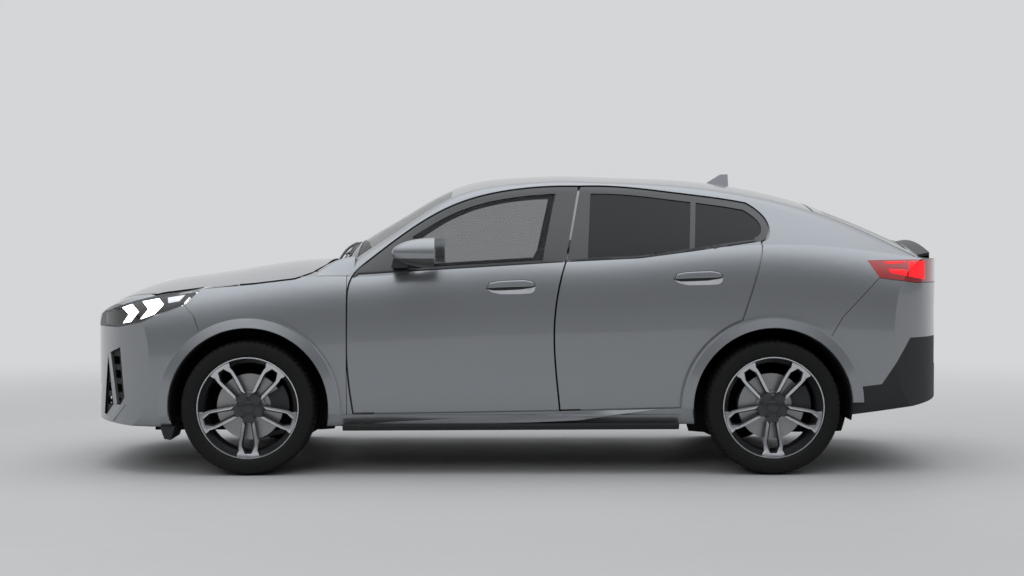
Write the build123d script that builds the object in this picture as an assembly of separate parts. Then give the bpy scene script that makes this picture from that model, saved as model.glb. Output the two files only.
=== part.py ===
from build123d import *
import math
import os
from collections import namedtuple

# Overall sizes, in millimetres
WHEELBASE = 2692
FRONT_OVERHANG = 890
REAR_OVERHANG = 972
BODY_WIDTH = 1845
ROOF_HEIGHT = 1560
BELT_HEIGHT = 1100
SILL_HEIGHT = 250
TRACK = 1592

# Wheels and brakes
TYRE_RADIUS = 346
TYRE_WIDTH = 245
RIM_RADIUS = 262
RIM_WALL = 9
BEAD_DEPTH = 12
SPOKE_COUNT = 5
SPOKE_DEPTH = 34
HUB_RADIUS = 62
WHEEL_OFFSET = 38
DISC_RADIUS = 170
DISC_THICKNESS = 26
HAT_RADIUS = 82
SPINDLE_RADIUS = 24

# Walls, gaps and fits
ARCH_FLARE = 20
ARCH_RADIUS = 410
ARCH_TRIM_WIDTH = 60
SILL_TRIM_DEPTH = 10
DOOR_WALL = 75
DOOR_SKIN = 10
FRAME_WALL = 34
TOP_WALL = 28
PANEL_WALL = 30
TAIL_WALL = 60
LINER_WALL = 6
SHUT_GAP = 9
FRAME_GAP = 14
TAILGATE_GAP = 12
PANEL_SEAM = 3
SEAT_SEAM = 0.5
RUNNING_FIT = 0.3
REBATE = 20
REBATE_CLEARANCE = 6
GLASS_DEPTH = 4
GLASS_THICKNESS = 5

# Door hinges
HINGE_SETBACK = 100
HINGE_DEPTH = 30
HINGE_PIN_RADIUS = 4
HINGE_EYE_RADIUS = 7.5
HINGE_HEIGHT = 48
HINGE_EAR = 10
POST_DEPTH = 132
POST_WALL = 40

# Pads under the sills for a jack
JACK_PAD_LENGTH = 100
JACK_PAD_WIDTH = 60
JACK_PAD_DROP = 18

# Places along, across and above the ground that follow from the sizes
LENGTH = FRONT_OVERHANG + WHEELBASE + REAR_OVERHANG
NOSE = -LENGTH / 2
TAIL = LENGTH / 2
FRONT_AXLE = NOSE + FRONT_OVERHANG
REAR_AXLE = TAIL - REAR_OVERHANG
MID = (FRONT_AXLE + REAR_AXLE) / 2
SIDE = BODY_WIDTH / 2 - ARCH_FLARE
HUB = TYRE_RADIUS
WHEEL_Y = TRACK / 2
FAR = BODY_WIDTH
HIGH = ROOF_HEIGHT + 300

Lower = namedtuple("Lower", "x bottom widest shoulder_y shoulder_z crown_z")
Upper = namedtuple("Upper", "x belt_y belt_z rail_y rail_z crown_z")


# Cross sections of the body below the belt, from nose to tail
def lower_stations():
    sill = SILL_HEIGHT
    belt = BELT_HEIGHT
    return [
        Lower(NOSE - 53, sill + 12, SIDE - 102, SIDE - 262, belt - 410, belt - 362),
        Lower(NOSE + 47, sill + 8, SIDE - 68, SIDE - 222, belt - 318, belt - 272),
        Lower(NOSE + 216, sill, SIDE - 28, SIDE - 166, belt - 216, belt - 162),
        Lower(NOSE + 527, sill - 10, SIDE - 7, SIDE - 112, belt - 158, belt - 88),
        Lower(FRONT_AXLE, sill - 10, SIDE, SIDE - 94, belt - 116, belt - 33),
        Lower(FRONT_AXLE + 387, sill - 5, SIDE - 4, SIDE - 82, belt - 84, belt + 2),
        Lower(FRONT_AXLE + 887, sill - 2, SIDE - 6, SIDE - 72, belt - 47, belt + 20),
        Lower(MID + 241, sill, SIDE - 5, SIDE - 68, belt - 2, belt + 40),
        Lower(REAR_AXLE - 505, sill + 5, SIDE - 1, SIDE - 68, belt + 42, belt + 70),
        Lower(REAR_AXLE, sill + 15, SIDE + 3, SIDE - 76, belt + 82, belt + 100),
        Lower(REAR_AXLE + 395, sill + 50, SIDE - 4, SIDE - 102, belt + 62, belt + 65),
        Lower(TAIL - 227, sill + 95, SIDE - 32, SIDE - 150, belt + 18, belt + 35),
        Lower(TAIL + 53, sill + 140, SIDE - 87, SIDE - 212, belt - 32, belt - 15),
    ]


# Cross sections of the glasshouse, from the windscreen foot to the tail
def upper_stations():
    belt = BELT_HEIGHT
    roof = ROOF_HEIGHT
    return [
        Upper(FRONT_AXLE + 277, SIDE - 80, belt - 250, SIDE - 118, belt - 195, belt - 65),
        Upper(FRONT_AXLE + 487, SIDE - 72, belt - 130, SIDE - 132, belt - 50, belt + 68),
        Upper(FRONT_AXLE + 687, SIDE - 66, belt - 60, SIDE - 166, belt + 90, belt + 196),
        Upper(FRONT_AXLE + 878, SIDE - 62, belt - 45, SIDE - 204, roof - 238, roof - 149),
        Upper(FRONT_AXLE + 1037, SIDE - 60, belt - 34, SIDE - 234, roof - 144, roof - 70),
        Upper(FRONT_AXLE + 1197, SIDE - 60, belt - 24, SIDE - 254, roof - 92, roof - 27),
        Upper(MID + 41, SIDE - 60, belt - 12, SIDE - 266, roof - 66, roof - 8),
        Upper(MID + 341, SIDE - 60, belt + 4, SIDE - 274, roof - 52, roof),
        Upper(REAR_AXLE - 655, SIDE - 60, belt + 20, SIDE - 276, roof - 64, roof - 11),
        Upper(REAR_AXLE - 305, SIDE - 64, belt + 60, SIDE - 280, roof - 94, roof - 32),
        Upper(REAR_AXLE - 25, SIDE - 70, belt + 70, SIDE - 286, roof - 140, roof - 74),
        Upper(REAR_AXLE + 261, SIDE - 86, belt + 50, SIDE - 290, roof - 214, roof - 147),
        Upper(REAR_AXLE + 535, SIDE - 112, belt - 10, SIDE - 290, roof - 320, roof - 247),
        Upper(TAIL - 227, SIDE - 145, belt - 100, SIDE - 284, roof - 418, roof - 338),
        Upper(TAIL + 23, SIDE - 190, belt - 230, SIDE - 272, roof - 540, roof - 455),
    ]


def bezier(points):
    return Edge.make_bezier(*[Vector(*point) for point in points])


def spline(points):
    return Edge.make_spline([Vector(*point) for point in points])


def line(start, end):
    return Edge.make_line(Vector(*start), Vector(*end))


def mirrored(points):
    return [(x, -y, z) for x, y, z in reversed(points)]


def other_side(shape):
    solids = [solid.mirror(Plane.XZ) for solid in shape.solids()]
    return solids[0] if len(solids) == 1 else Compound(children=solids)


def block(x_range, y_range, z_range):
    size = [high - low for low, high in (x_range, y_range, z_range)]
    middle = [(high + low) / 2 for low, high in (x_range, y_range, z_range)]
    return Pos(*middle) * Box(*size)


def side_prism(points, y_low, y_high):
    corners = [Vector(x, y_low, z) for x, z in points]
    face = Face(Wire.make_polygon(corners, close=True))
    return Solid.extrude(face, Vector(0, y_high - y_low, 0))


def plan_prism(points, z_low, z_high):
    corners = [Vector(x, y, z_low) for x, y in points]
    face = Face(Wire.make_polygon(corners, close=True))
    return Solid.extrude(face, Vector(0, 0, z_high - z_low))


def front_prism(points, x_low, x_high):
    corners = [Vector(x_low, y, z) for y, z in points]
    face = Face(Wire.make_polygon(corners, close=True))
    return Solid.extrude(face, Vector(x_high - x_low, 0, 0))


def across(x, z, radius, y_low, y_high):
    return Solid.make_cylinder(radius, y_high - y_low, Plane((x, y_low, z), z_dir=(0, 1, 0)))


def upright(x, y, radius, z_low, z_high):
    return Solid.make_cylinder(radius, z_high - z_low, Plane((x, y, z_low), z_dir=(0, 0, 1)))


def one(shape):
    solids = shape.solids()
    return solids[0] if len(solids) == 1 else Compound(children=list(solids))


def largest(shape):
    return max(shape.solids(), key=lambda solid: solid.volume)


def lower_section(station, inset, drop, open_floor):
    x = station.x
    bottom = station.bottom - open_floor
    wide = station.widest - inset
    shoulder_y = station.shoulder_y - inset
    shoulder_z = station.shoulder_z - drop
    height = shoulder_z - station.bottom
    rise = station.crown_z - station.shoulder_z
    side = [
        (x, wide - 72, bottom),
        (x, wide - 14, station.bottom + 20),
        (x, wide + 6, station.bottom + 0.36 * height),
        (x, wide + 6, station.bottom + 0.70 * height),
        (x, wide - 2, shoulder_z - 70),
        (x, shoulder_y, shoulder_z),
    ]
    half_top = [
        (x, shoulder_y, shoulder_z),
        (x, 0.62 * shoulder_y, shoulder_z + 0.8 * rise),
        (x, 0.22 * shoulder_y, shoulder_z + 1.2 * rise),
    ]
    floor = line((x, 72 - wide, bottom), (x, wide - 72, bottom))
    return Wire([floor, bezier(side), bezier(half_top + mirrored(half_top)), bezier(mirrored(side))])


def upper_section(station, inset):
    x = station.x
    belt_y = station.belt_y - inset
    rail_y = station.rail_y - inset
    rail_z = station.rail_z - inset
    crown_z = station.crown_z - inset
    down_side = Vector(0, belt_y - rail_y, station.belt_z - rail_z).normalized()
    slope = 1.7 * (crown_z - rail_z) / rail_y
    start = (x, belt_y + 30, station.belt_z - 150)
    side_end = (x, rail_y + 55 * down_side.Y, rail_z + 55 * down_side.Z)
    roof_start = (x, rail_y - 65, rail_z + 65 * slope)
    roof_pull = (x, 0.7 * rail_y - 65, rail_z + (65 + 0.3 * rail_y) * slope)
    roof_mid = (x, 0.2 * rail_y, (32 * crown_z - 2 * roof_start[2] - 10 * roof_pull[2]) / 20)
    side = [start, (x, belt_y, station.belt_z), side_end]
    corner = [side_end, (x, rail_y, rail_z), roof_start]
    half_roof = [roof_start, roof_pull, roof_mid]
    floor = line((x, -start[1], start[2]), start)
    return Wire([floor, bezier(side), bezier(corner), bezier(half_roof + mirrored(half_roof)),
                 bezier(mirrored(corner)), bezier(mirrored(side))])


def lower_body(inset=0.0, drop=0.0, open_floor=0.0):
    return Solid.make_loft([lower_section(s, inset, drop, open_floor) for s in lower_stations()])


def upper_body(inset=0.0):
    return Solid.make_loft([upper_section(s, inset) for s in upper_stations()])


# Outline of the body seen from above, pulled in at both ends by the inset
def plan_limit(inset):
    nose = NOSE + inset
    tail = TAIL - inset
    wide = FAR
    bow = [(nose + 577, -SIDE - 60, 0), (nose + 327, inset - SIDE + 52, 0), (nose + 167, inset - SIDE + 202, 0),
           (nose + 52, inset - SIDE + 422, 0), (nose, 0, 0)]
    stern = [(tail - 560, -SIDE - 60, 0), (tail - 300, inset - SIDE + 52, 0), (tail - 140, inset - SIDE + 202, 0),
             (tail - 44, inset - SIDE + 422, 0), (tail, 0, 0)]
    bow_left = bow + mirrored(bow)[1:]
    stern_left = stern + mirrored(stern)[1:]
    edges = [
        spline(bow_left),
        line(bow_left[-1], (bow_left[-1][0], wide, 0)),
        line((bow_left[-1][0], wide, 0), (stern_left[-1][0], wide, 0)),
        line((stern_left[-1][0], wide, 0), stern_left[-1]),
        spline(list(reversed(stern_left))),
        line(stern_left[0], (stern_left[0][0], -wide, 0)),
        line((stern_left[0][0], -wide, 0), (bow_left[0][0], -wide, 0)),
        line((bow_left[0][0], -wide, 0), bow_left[0]),
    ]
    return Solid.extrude(Face(Wire(edges)), Vector(0, 0, HIGH))


# Outline of the body seen from the side, pulled in at both ends by the inset
def side_limit(inset):
    nose = NOSE + inset
    tail = TAIL - inset
    sill = SILL_HEIGHT
    belt = BELT_HEIGHT
    front = [(nose + 42, -FAR, 0), (nose + 42, -FAR, sill - 30), (nose, -FAR, sill + 14)]
    face = [(nose, -FAR, sill + 14), (nose + 15, -FAR, sill + 150), (nose + 27, -FAR, sill + 350),
            (nose + 34, -FAR, belt - 380), (nose + 57, -FAR, belt - 270), (nose + 175, -FAR, belt - 110)]
    bumper = [(tail - 44, -FAR, sill + 70), (tail - 9, -FAR, sill + 150), (tail, -FAR, sill + 260),
              (tail - 3, -FAR, sill + 370), (tail - 30, -FAR, sill + 472)]
    gate = [(tail - 56, -FAR, sill + 486), (tail - 62, -FAR, belt - 220), (tail - 44, -FAR, belt - 100),
            (tail - 37, -FAR, belt + 5), (tail - 60, -FAR, belt + 70), (tail - 170, -FAR, belt + 150)]
    edges = [
        line(front[0], front[1]),
        line(front[1], front[2]),
        spline(face),
        line(face[-1], (nose + 175, -FAR, HIGH)),
        line((nose + 175, -FAR, HIGH), (tail - 170, -FAR, HIGH)),
        line((tail - 170, -FAR, HIGH), gate[-1]),
        spline(list(reversed(gate))),
        line(gate[0], bumper[-1]),
        spline(list(reversed(bumper))),
        line(bumper[0], (tail - 44, -FAR, 0)),
        line((tail - 44, -FAR, 0), front[0]),
    ]
    return Solid.extrude(Face(Wire(edges)), Vector(0, 2 * FAR, 0))


def shaped_body(inset, drop, upper_inset, open_floor, end_inset):
    whole = lower_body(inset, drop, open_floor).fuse(upper_body(upper_inset))
    return one(whole.intersect(plan_limit(end_inset)).solids()[0].intersect(side_limit(end_inset)))


# A closed outline in side view is a list of runs that follow each other round it.
# A run of two points is straight and a longer one is a smooth curve.
def outline_wire(runs):
    edges = []
    for run in runs:
        points = [(x, 0, z) for x, z in run]
        edges.append(line(*points) if len(points) == 2 else spline(points))
    return Wire(edges)


# Moves every point of an outline square to its neighbours, outwards for a positive amount
def grown(runs, amount):
    loop = [point for run in runs for point in run[:-1]]
    count = len(loop)
    area = sum(a[0] * b[1] - b[0] * a[1] for a, b in zip(loop, loop[1:] + loop[:1]))
    turn = 1 if area > 0 else -1
    moved = []
    for index, (x, z) in enumerate(loop):
        before = Vector(x - loop[index - 1][0], z - loop[index - 1][1]).normalized()
        after = Vector(loop[(index + 1) % count][0] - x, loop[(index + 1) % count][1] - z).normalized()
        bisector = before + after
        reach = 2 * amount * turn / bisector.dot(bisector)
        moved.append((x + bisector.Y * reach, z - bisector.X * reach))
    shifted = []
    first = 0
    for run in runs:
        shifted.append([moved[(first + step) % count] for step in range(len(run))])
        first += len(run) - 1
    return shifted


def left_prism(runs):
    return Solid.extrude(Face(outline_wire(runs)), Vector(0, -FAR, 0))


# Shut line between the front and rear door, from the belt down to the sill
def pillar_line(shift):
    return [
        (MID + 282 + shift, BELT_HEIGHT + 4),
        (MID + 231 + shift, BELT_HEIGHT - 200),
        (MID + 217 + shift, BELT_HEIGHT - 350),
        (MID + 224 + shift, SILL_HEIGHT + 300),
        (MID + 246 + shift, SILL_HEIGHT + 84),
    ]


def front_door_outline():
    leading = [
        (FRONT_AXLE + 538, SILL_HEIGHT + 68),
        (FRONT_AXLE + 508, SILL_HEIGHT + 350),
        (FRONT_AXLE + 508, BELT_HEIGHT - 250),
        (FRONT_AXLE + 524, BELT_HEIGHT - 105),
        (FRONT_AXLE + 572, BELT_HEIGHT - 38),
    ]
    frame = [
        (FRONT_AXLE + 572, BELT_HEIGHT - 38),
        (FRONT_AXLE + 720, BELT_HEIGHT + 78),
        (FRONT_AXLE + 878, ROOF_HEIGHT - 270),
        (FRONT_AXLE + 1040, ROOF_HEIGHT - 182),
        (FRONT_AXLE + 1198, ROOF_HEIGHT - 128),
        (MID + 11, ROOF_HEIGHT - 97),
        (MID + 171, ROOF_HEIGHT - 81),
        (MID + 352, ROOF_HEIGHT - 78),
    ]
    pillar = pillar_line(0)
    return [leading, frame, [frame[-1], pillar[0]], pillar, [pillar[-1], leading[0]]]


def rear_door_outline():
    pillar = pillar_line(SHUT_GAP)
    frame = [
        (MID + 352 + FRAME_GAP, ROOF_HEIGHT - 78),
        (MID + 672, ROOF_HEIGHT - 90),
        (REAR_AXLE - 468, ROOF_HEIGHT - 115),
        (REAR_AXLE - 262, ROOF_HEIGHT - 141),
        (REAR_AXLE - 118, ROOF_HEIGHT - 165),
    ]
    corner = [
        (REAR_AXLE - 118, ROOF_HEIGHT - 165),
        (REAR_AXLE - 50, ROOF_HEIGHT - 214),
        (REAR_AXLE - 10, ROOF_HEIGHT - 282),
        (REAR_AXLE - 16, BELT_HEIGHT + 128),
        (REAR_AXLE - 52, BELT_HEIGHT + 100),
    ]
    trailing = [
        (REAR_AXLE - 52, BELT_HEIGHT + 100),
        (REAR_AXLE - 69, BELT_HEIGHT + 7),
        (REAR_AXLE - 105, BELT_HEIGHT - 123),
        (REAR_AXLE - 145, BELT_HEIGHT - 244),
        (REAR_AXLE - 170, BELT_HEIGHT - 320),
    ]
    under = (REAR_AXLE - 170, HUB + 70)
    heel = (REAR_AXLE - 435, SILL_HEIGHT + 100)
    return [list(reversed(pillar)), [pillar[0], frame[0]], frame, corner, trailing,
            [trailing[-1], under], [under, heel], [heel, pillar[-1]]]


# Places shared by the panels and what they fit
HINGE_Y = SIDE - 8 - HINGE_DEPTH
POST_Y = SIDE - 8 - POST_DEPTH
POST_INNER = POST_Y - POST_WALL
FRONT_HINGE_X = FRONT_AXLE + 508 + HINGE_SETBACK
REAR_HINGE_X = MID + 217 + SHUT_GAP + HINGE_SETBACK
HINGE_LEVELS = [SILL_HEIGHT + 370, BELT_HEIGHT - 260]
INNER_GAP = SHUT_GAP + REBATE_CLEARANCE
DOOR_ARC = ARCH_RADIUS + ARCH_TRIM_WIDTH + 12
SILL_BOX_TOP = SILL_HEIGHT + 62
SILL_INNER = SIDE - 170
FLOOR_TOP = SILL_HEIGHT + 40
FLOOR_WALL = 28
BOOT_FLOOR = SILL_HEIGHT + 310
BOOT_START = REAR_AXLE - 345
WING_REAR = FRONT_AXLE + 500
BULKHEAD_REAR = FRONT_AXLE + 462
BULKHEAD_WALL = 25
SCREEN_TOP = FRONT_AXLE + 1035
BONNET_REAR = FRONT_AXLE + 375
ROOF_HALF = SIDE - 362
TAILGATE_EDGE = TAIL - 711
LAMP_INNER = SIDE - 396
RAIL_FACE = 466
LINER_REAR_FACE = 606
WINDOW_FRAME = 34
SCUTTLE_HALF = SIDE - 202
JACK_PAD_Y = SIDE - 120


class Body:
    outer = shaped_body(0, 0, 0, 0, 0)
    under_skin = shaped_body(DOOR_SKIN, DOOR_SKIN, DOOR_SKIN, 60, DOOR_SKIN)
    rebate = shaped_body(DOOR_SKIN + REBATE_CLEARANCE, DOOR_SKIN + REBATE_CLEARANCE,
                         DOOR_SKIN + REBATE_CLEARANCE, 60, DOOR_SKIN + REBATE_CLEARANCE)
    under_panel = shaped_body(PANEL_WALL, PANEL_WALL, PANEL_WALL, 60, PANEL_WALL)
    cabin = shaped_body(DOOR_WALL, TOP_WALL, FRAME_WALL, 90, TAIL_WALL)
    glass_outside = upper_body(GLASS_DEPTH)
    glass_inside = upper_body(GLASS_DEPTH + GLASS_THICKNESS)
    left = block((-FAR * 2, FAR * 2), (-FAR, 0), (-FAR, HIGH))
    wall = one((outer - cabin) & left)
    panel = one(outer - under_panel)


def arch_cut(axle, inner):
    return across(axle, HUB, ARCH_RADIUS, -FAR, -inner)


def window_prism(door_runs, corners, shrink):
    inside = left_prism(grown(door_runs, -WINDOW_FRAME - shrink))
    return inside & left_prism(grown([[a, b] for a, b in zip(corners, corners[1:] + corners[:1])], -shrink))


def front_window(shrink=0.0):
    corners = [
        (FRONT_AXLE + 835, BELT_HEIGHT - 42),
        (MID + 164, BELT_HEIGHT - 2),
        (MID + 258, ROOF_HEIGHT),
        (FRONT_AXLE + 835, ROOF_HEIGHT),
    ]
    return window_prism(front_door_outline(), corners, shrink)


def rear_window(shrink=0.0):
    corners = [
        (MID + 396, BELT_HEIGHT + 10),
        (MID + 663, BELT_HEIGHT + 22),
        (REAR_AXLE - 425, BELT_HEIGHT + 56),
        (REAR_AXLE - 392, ROOF_HEIGHT),
        (MID + 425, ROOF_HEIGHT),
    ]
    return window_prism(rear_door_outline(), corners, shrink)


def quarter_window(shrink=0.0):
    corners = [
        (REAR_AXLE - 398, BELT_HEIGHT + 61),
        (REAR_AXLE - 174, BELT_HEIGHT + 90),
        (REAR_AXLE, BELT_HEIGHT + 112),
        (REAR_AXLE, ROOF_HEIGHT),
        (REAR_AXLE - 364, ROOF_HEIGHT),
    ]
    return window_prism(rear_door_outline(), corners, shrink)


# The door half of a hinge: two ears on the door's box with the pin between them
def hinge_ears(hinge_x):
    ears = []
    for level in HINGE_LEVELS:
        half = HINGE_HEIGHT / 2
        for low in (level - half - HINGE_EAR, level + half):
            ears.append(block((hinge_x - HINGE_PIN_RADIUS - 3, hinge_x + 24),
                              (-HINGE_Y - HINGE_PIN_RADIUS - 3, 30 - HINGE_Y), (low, low + HINGE_EAR)))
        ears.append(upright(hinge_x, -HINGE_Y, HINGE_PIN_RADIUS, level - half - 1, level + half + 1))
    return ears


# The body half of a hinge: an arm from the post with the eye that the pin turns in
def hinge_arms(hinge_x):
    arms = []
    for level in HINGE_LEVELS:
        half = HINGE_HEIGHT / 2 - 1
        arm = block((hinge_x - 6, hinge_x + 6), (-HINGE_Y, 4 - POST_Y), (level - half, level + half))
        arm = arm + upright(hinge_x, -HINGE_Y, HINGE_EYE_RADIUS, level - half, level + half)
        arms.append(arm - upright(hinge_x, -HINGE_Y, HINGE_PIN_RADIUS + RUNNING_FIT, level - 60, level + 60))
    return arms


# A door: a skin to the full outline and a box behind it that stops short for the rebate
def make_door(runs, hinge_x, windows, arch_radius):
    outline = left_prism(runs)
    inside = left_prism(grown(runs, -REBATE))
    hinge_space = block((hinge_x - 400, hinge_x + 16), (-FAR, 0), (0, BELT_HEIGHT - 20))
    door = Body.wall & outline
    if arch_radius:
        door = door - across(REAR_AXLE, HUB, arch_radius, -FAR, 0)
        inside = inside - across(REAR_AXLE, HUB, arch_radius + REBATE, -FAR, 0)
    rebate = (outline - (inside - hinge_space)) & Body.under_skin
    door = door - rebate
    for level in HINGE_LEVELS:
        half = HINGE_HEIGHT / 2
        door = door - upright(hinge_x, -HINGE_Y, HINGE_EYE_RADIUS + 5, level - half, level + half)
    for window in windows:
        door = door - window
    return one(door.fuse(*hinge_ears(hinge_x)))


def make_glass(openings):
    panes = [largest((Body.glass_outside & opening) - Body.glass_inside) for opening in openings]
    return panes[0] if len(panes) == 1 else Compound(children=panes)


def windscreen_prism(shrink):
    foot = FRONT_AXLE + 405 + shrink
    half_top = SIDE - 296 - shrink
    half_foot = SIDE - 187 - shrink
    return plan_prism([(foot, -half_foot + 320), (foot + 50, -half_foot), (SCREEN_TOP - shrink, -half_top),
                       (SCREEN_TOP - shrink, half_top), (foot + 50, half_foot), (foot, half_foot - 320)], 0, HIGH)


def roof_prism(grow):
    half = ROOF_HALF + grow
    rear = TAILGATE_EDGE - TAILGATE_GAP
    return plan_prism([(SCREEN_TOP, -half), (rear + 2 * grow, -half), (rear + 2 * grow, half), (SCREEN_TOP, half)],
                      BELT_HEIGHT, HIGH)


def tailgate_space(grow):
    front = TAILGATE_EDGE - grow
    half = ROOF_HALF + 20 + grow
    foot = BELT_HEIGHT + 12 - grow
    top = plan_prism([(front, -half), (TAIL - 150, -half - 40), (FAR * 2, -half - 40),
                      (FAR * 2, half + 40), (TAIL - 150, half + 40), (front, half)], foot, HIGH)
    narrow = LAMP_INNER - SHUT_GAP + grow
    gate = block((TAIL - 190 - grow, FAR * 2), (-narrow, narrow), (SILL_HEIGHT + 496 - grow, foot + 5))
    return top + gate


def tail_lamp_space(grow):
    outline = [
        (TAIL - 481, BELT_HEIGHT),
        (TAIL - 422, BELT_HEIGHT - 88),
        (TAIL - 222, BELT_HEIGHT - 114),
        (TAIL + 60, BELT_HEIGHT - 116),
        (TAIL + 60, BELT_HEIGHT + 4),
        (TAIL - 222, BELT_HEIGHT + 4),
    ]
    runs = grown([[a, b] for a, b in zip(outline, outline[1:] + outline[:1])], grow)
    return left_prism(runs) - block((-FAR * 2, FAR * 2), (grow - LAMP_INNER, FAR), (0, HIGH))


def rear_bumper_space(grow):
    outline = [
        (REAR_AXLE, HUB),
        (REAR_AXLE + 255, SILL_HEIGHT + 390),
        (TAIL - 613, BELT_HEIGHT - 287),
        (TAIL - 424, BELT_HEIGHT - 91),
        (TAIL - 222, BELT_HEIGHT - 117),
        (TAIL + 60, BELT_HEIGHT - 119),
        (TAIL + 60, 60),
        (REAR_AXLE, 60),
    ]
    return left_prism(grown([[a, b] for a, b in zip(outline, outline[1:] + outline[:1])], grow))


def diffuser_space(grow):
    outline = [
        (REAR_AXLE + 360, SILL_HEIGHT + 188),
        (TAIL - 409, SILL_HEIGHT + 213),
        (TAIL - 252, SILL_HEIGHT + 450),
        (TAIL + 60, SILL_HEIGHT + 450),
        (TAIL + 60, 60),
        (REAR_AXLE + 360, 60),
    ]
    dark = left_prism(grown([[a, b] for a, b in zip(outline, outline[1:] + outline[:1])], grow))
    band = block((TAIL - 200, FAR * 2), (grow - SIDE + 360, FAR), (SILL_HEIGHT + 300 + grow, HIGH))
    return dark - band


# Body side: sill, pillars, roof rail and rear quarter, open where the doors sit
def make_side_frame():
    frame = Body.wall & block((WING_REAR + PANEL_SEAM, FAR * 2), (-FAR, 0), (0, HIGH))
    for runs, hinge_x, arch_radius in (
        (front_door_outline(), FRONT_HINGE_X, 0),
        (rear_door_outline(), REAR_HINGE_X, DOOR_ARC),
    ):
        outside = left_prism(grown(runs, SHUT_GAP))
        inside = left_prism(grown(runs, INNER_GAP - REBATE))
        if arch_radius:
            outside = outside - across(REAR_AXLE, HUB, arch_radius - SHUT_GAP, -FAR, 0)
            inside = inside - across(REAR_AXLE, HUB, arch_radius + REBATE - INNER_GAP, -FAR, 0)
        swing = outside & block((hinge_x - 400, hinge_x + 32), (-FAR, -POST_Y), (0, HIGH))
        frame = frame - (outside - Body.rebate) - inside - swing
    roof_space = block((SCREEN_TOP, TAILGATE_EDGE), (-ROOF_HALF - SEAT_SEAM, FAR), (BELT_HEIGHT, HIGH))
    frame = frame - windscreen_prism(0) - roof_space - tailgate_space(SHUT_GAP)
    frame = frame - tail_lamp_space(SEAT_SEAM) - rear_bumper_space(PANEL_SEAM) - arch_cut(REAR_AXLE, 0)
    return frame


def make_posts():
    wing_end = WING_REAR + PANEL_SEAM
    sill = block((wing_end, REAR_AXLE - 450), (76 - SIDE, -SILL_INNER), (SILL_HEIGHT + 12, SILL_BOX_TOP))
    front_post = block((BULKHEAD_REAR - 30, FRONT_HINGE_X + 12), (-POST_Y, -POST_INNER),
                       (SILL_BOX_TOP - 10, BELT_HEIGHT - 150))
    post_head = block((wing_end, FRONT_HINGE_X + 12), (-POST_Y, -POST_INNER), (BELT_HEIGHT - 151, BELT_HEIGHT - 86))
    middle = front_prism([
        (-POST_Y, SILL_BOX_TOP - 10),
        (-POST_Y, BELT_HEIGHT - 140),
        (-SIDE + 146, BELT_HEIGHT),
        (-SIDE + 318, ROOF_HEIGHT - 110),
        (-SIDE + 326, ROOF_HEIGHT - 62),
        (-SIDE + 358, ROOF_HEIGHT - 62),
        (-SIDE + 352, ROOF_HEIGHT - 120),
        (-SIDE + 196, BELT_HEIGHT),
        (-POST_INNER, BELT_HEIGHT - 140),
        (-POST_INNER, SILL_BOX_TOP - 10),
    ], REAR_HINGE_X - 60, REAR_HINGE_X + 34)
    pads = [jack_pad(FRONT_AXLE + 640), jack_pad(REAR_AXLE - 620)]
    return [sill, front_post, post_head, middle] + pads + hinge_arms(FRONT_HINGE_X) + hinge_arms(REAR_HINGE_X)


# Flat pad under the sill that a jack or a stand bears on
def jack_pad(x):
    return block((x - JACK_PAD_LENGTH / 2, x + JACK_PAD_LENGTH / 2),
                 (-JACK_PAD_Y - JACK_PAD_WIDTH / 2, JACK_PAD_WIDTH / 2 - JACK_PAD_Y),
                 (SILL_HEIGHT - JACK_PAD_DROP, SILL_HEIGHT + 20))


# Lower edge of the bonnet in side view, along the lamp and then along the wing
def bonnet_line(shift):
    points = [
        (NOSE - 60, BELT_HEIGHT - 285),
        (NOSE + 133, BELT_HEIGHT - 253),
        (NOSE + 292, BELT_HEIGHT - 200),
        (NOSE + 447, BELT_HEIGHT - 164),
        (NOSE + 640, BELT_HEIGHT - 139),
        (FRONT_AXLE + 30, BELT_HEIGHT - 115),
        (FRONT_AXLE + 235, BELT_HEIGHT - 90),
        (FRONT_AXLE + 312, BELT_HEIGHT - 62),
        (BONNET_REAR - 11, BELT_HEIGHT - 24),
        (BONNET_REAR, BELT_HEIGHT - 2),
    ]
    return [(x, z + shift) for x, z in points]


def bonnet_space(shift, end_inset):
    points = bonnet_line(-shift)
    points[-1] = (BONNET_REAR + shift, points[-1][1])
    above = side_prism(points + [(BONNET_REAR + shift, HIGH), (NOSE - 60, HIGH)], -FAR, FAR)
    return above & plan_limit(end_inset)


def headlamp_space(grow):
    outline = [
        (NOSE - 60, BELT_HEIGHT - 352),
        (NOSE + 196, BELT_HEIGHT - 346),
        (NOSE + 341, BELT_HEIGHT - 318),
        (NOSE + 455, BELT_HEIGHT - 269),
        (NOSE + 561, BELT_HEIGHT - 228),
        (NOSE + 635, BELT_HEIGHT - 150),
        (NOSE + 447, BELT_HEIGHT - 173),
        (NOSE + 292, BELT_HEIGHT - 209),
        (NOSE + 133, BELT_HEIGHT - 262),
        (NOSE - 60, BELT_HEIGHT - 294),
    ]
    lamp = left_prism(grown([[a, b] for a, b in zip(outline, outline[1:] + outline[:1])], grow))
    return lamp - block((-FAR * 2, FAR * 2), (grow - SIDE + 460, FAR), (0, HIGH))


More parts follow.
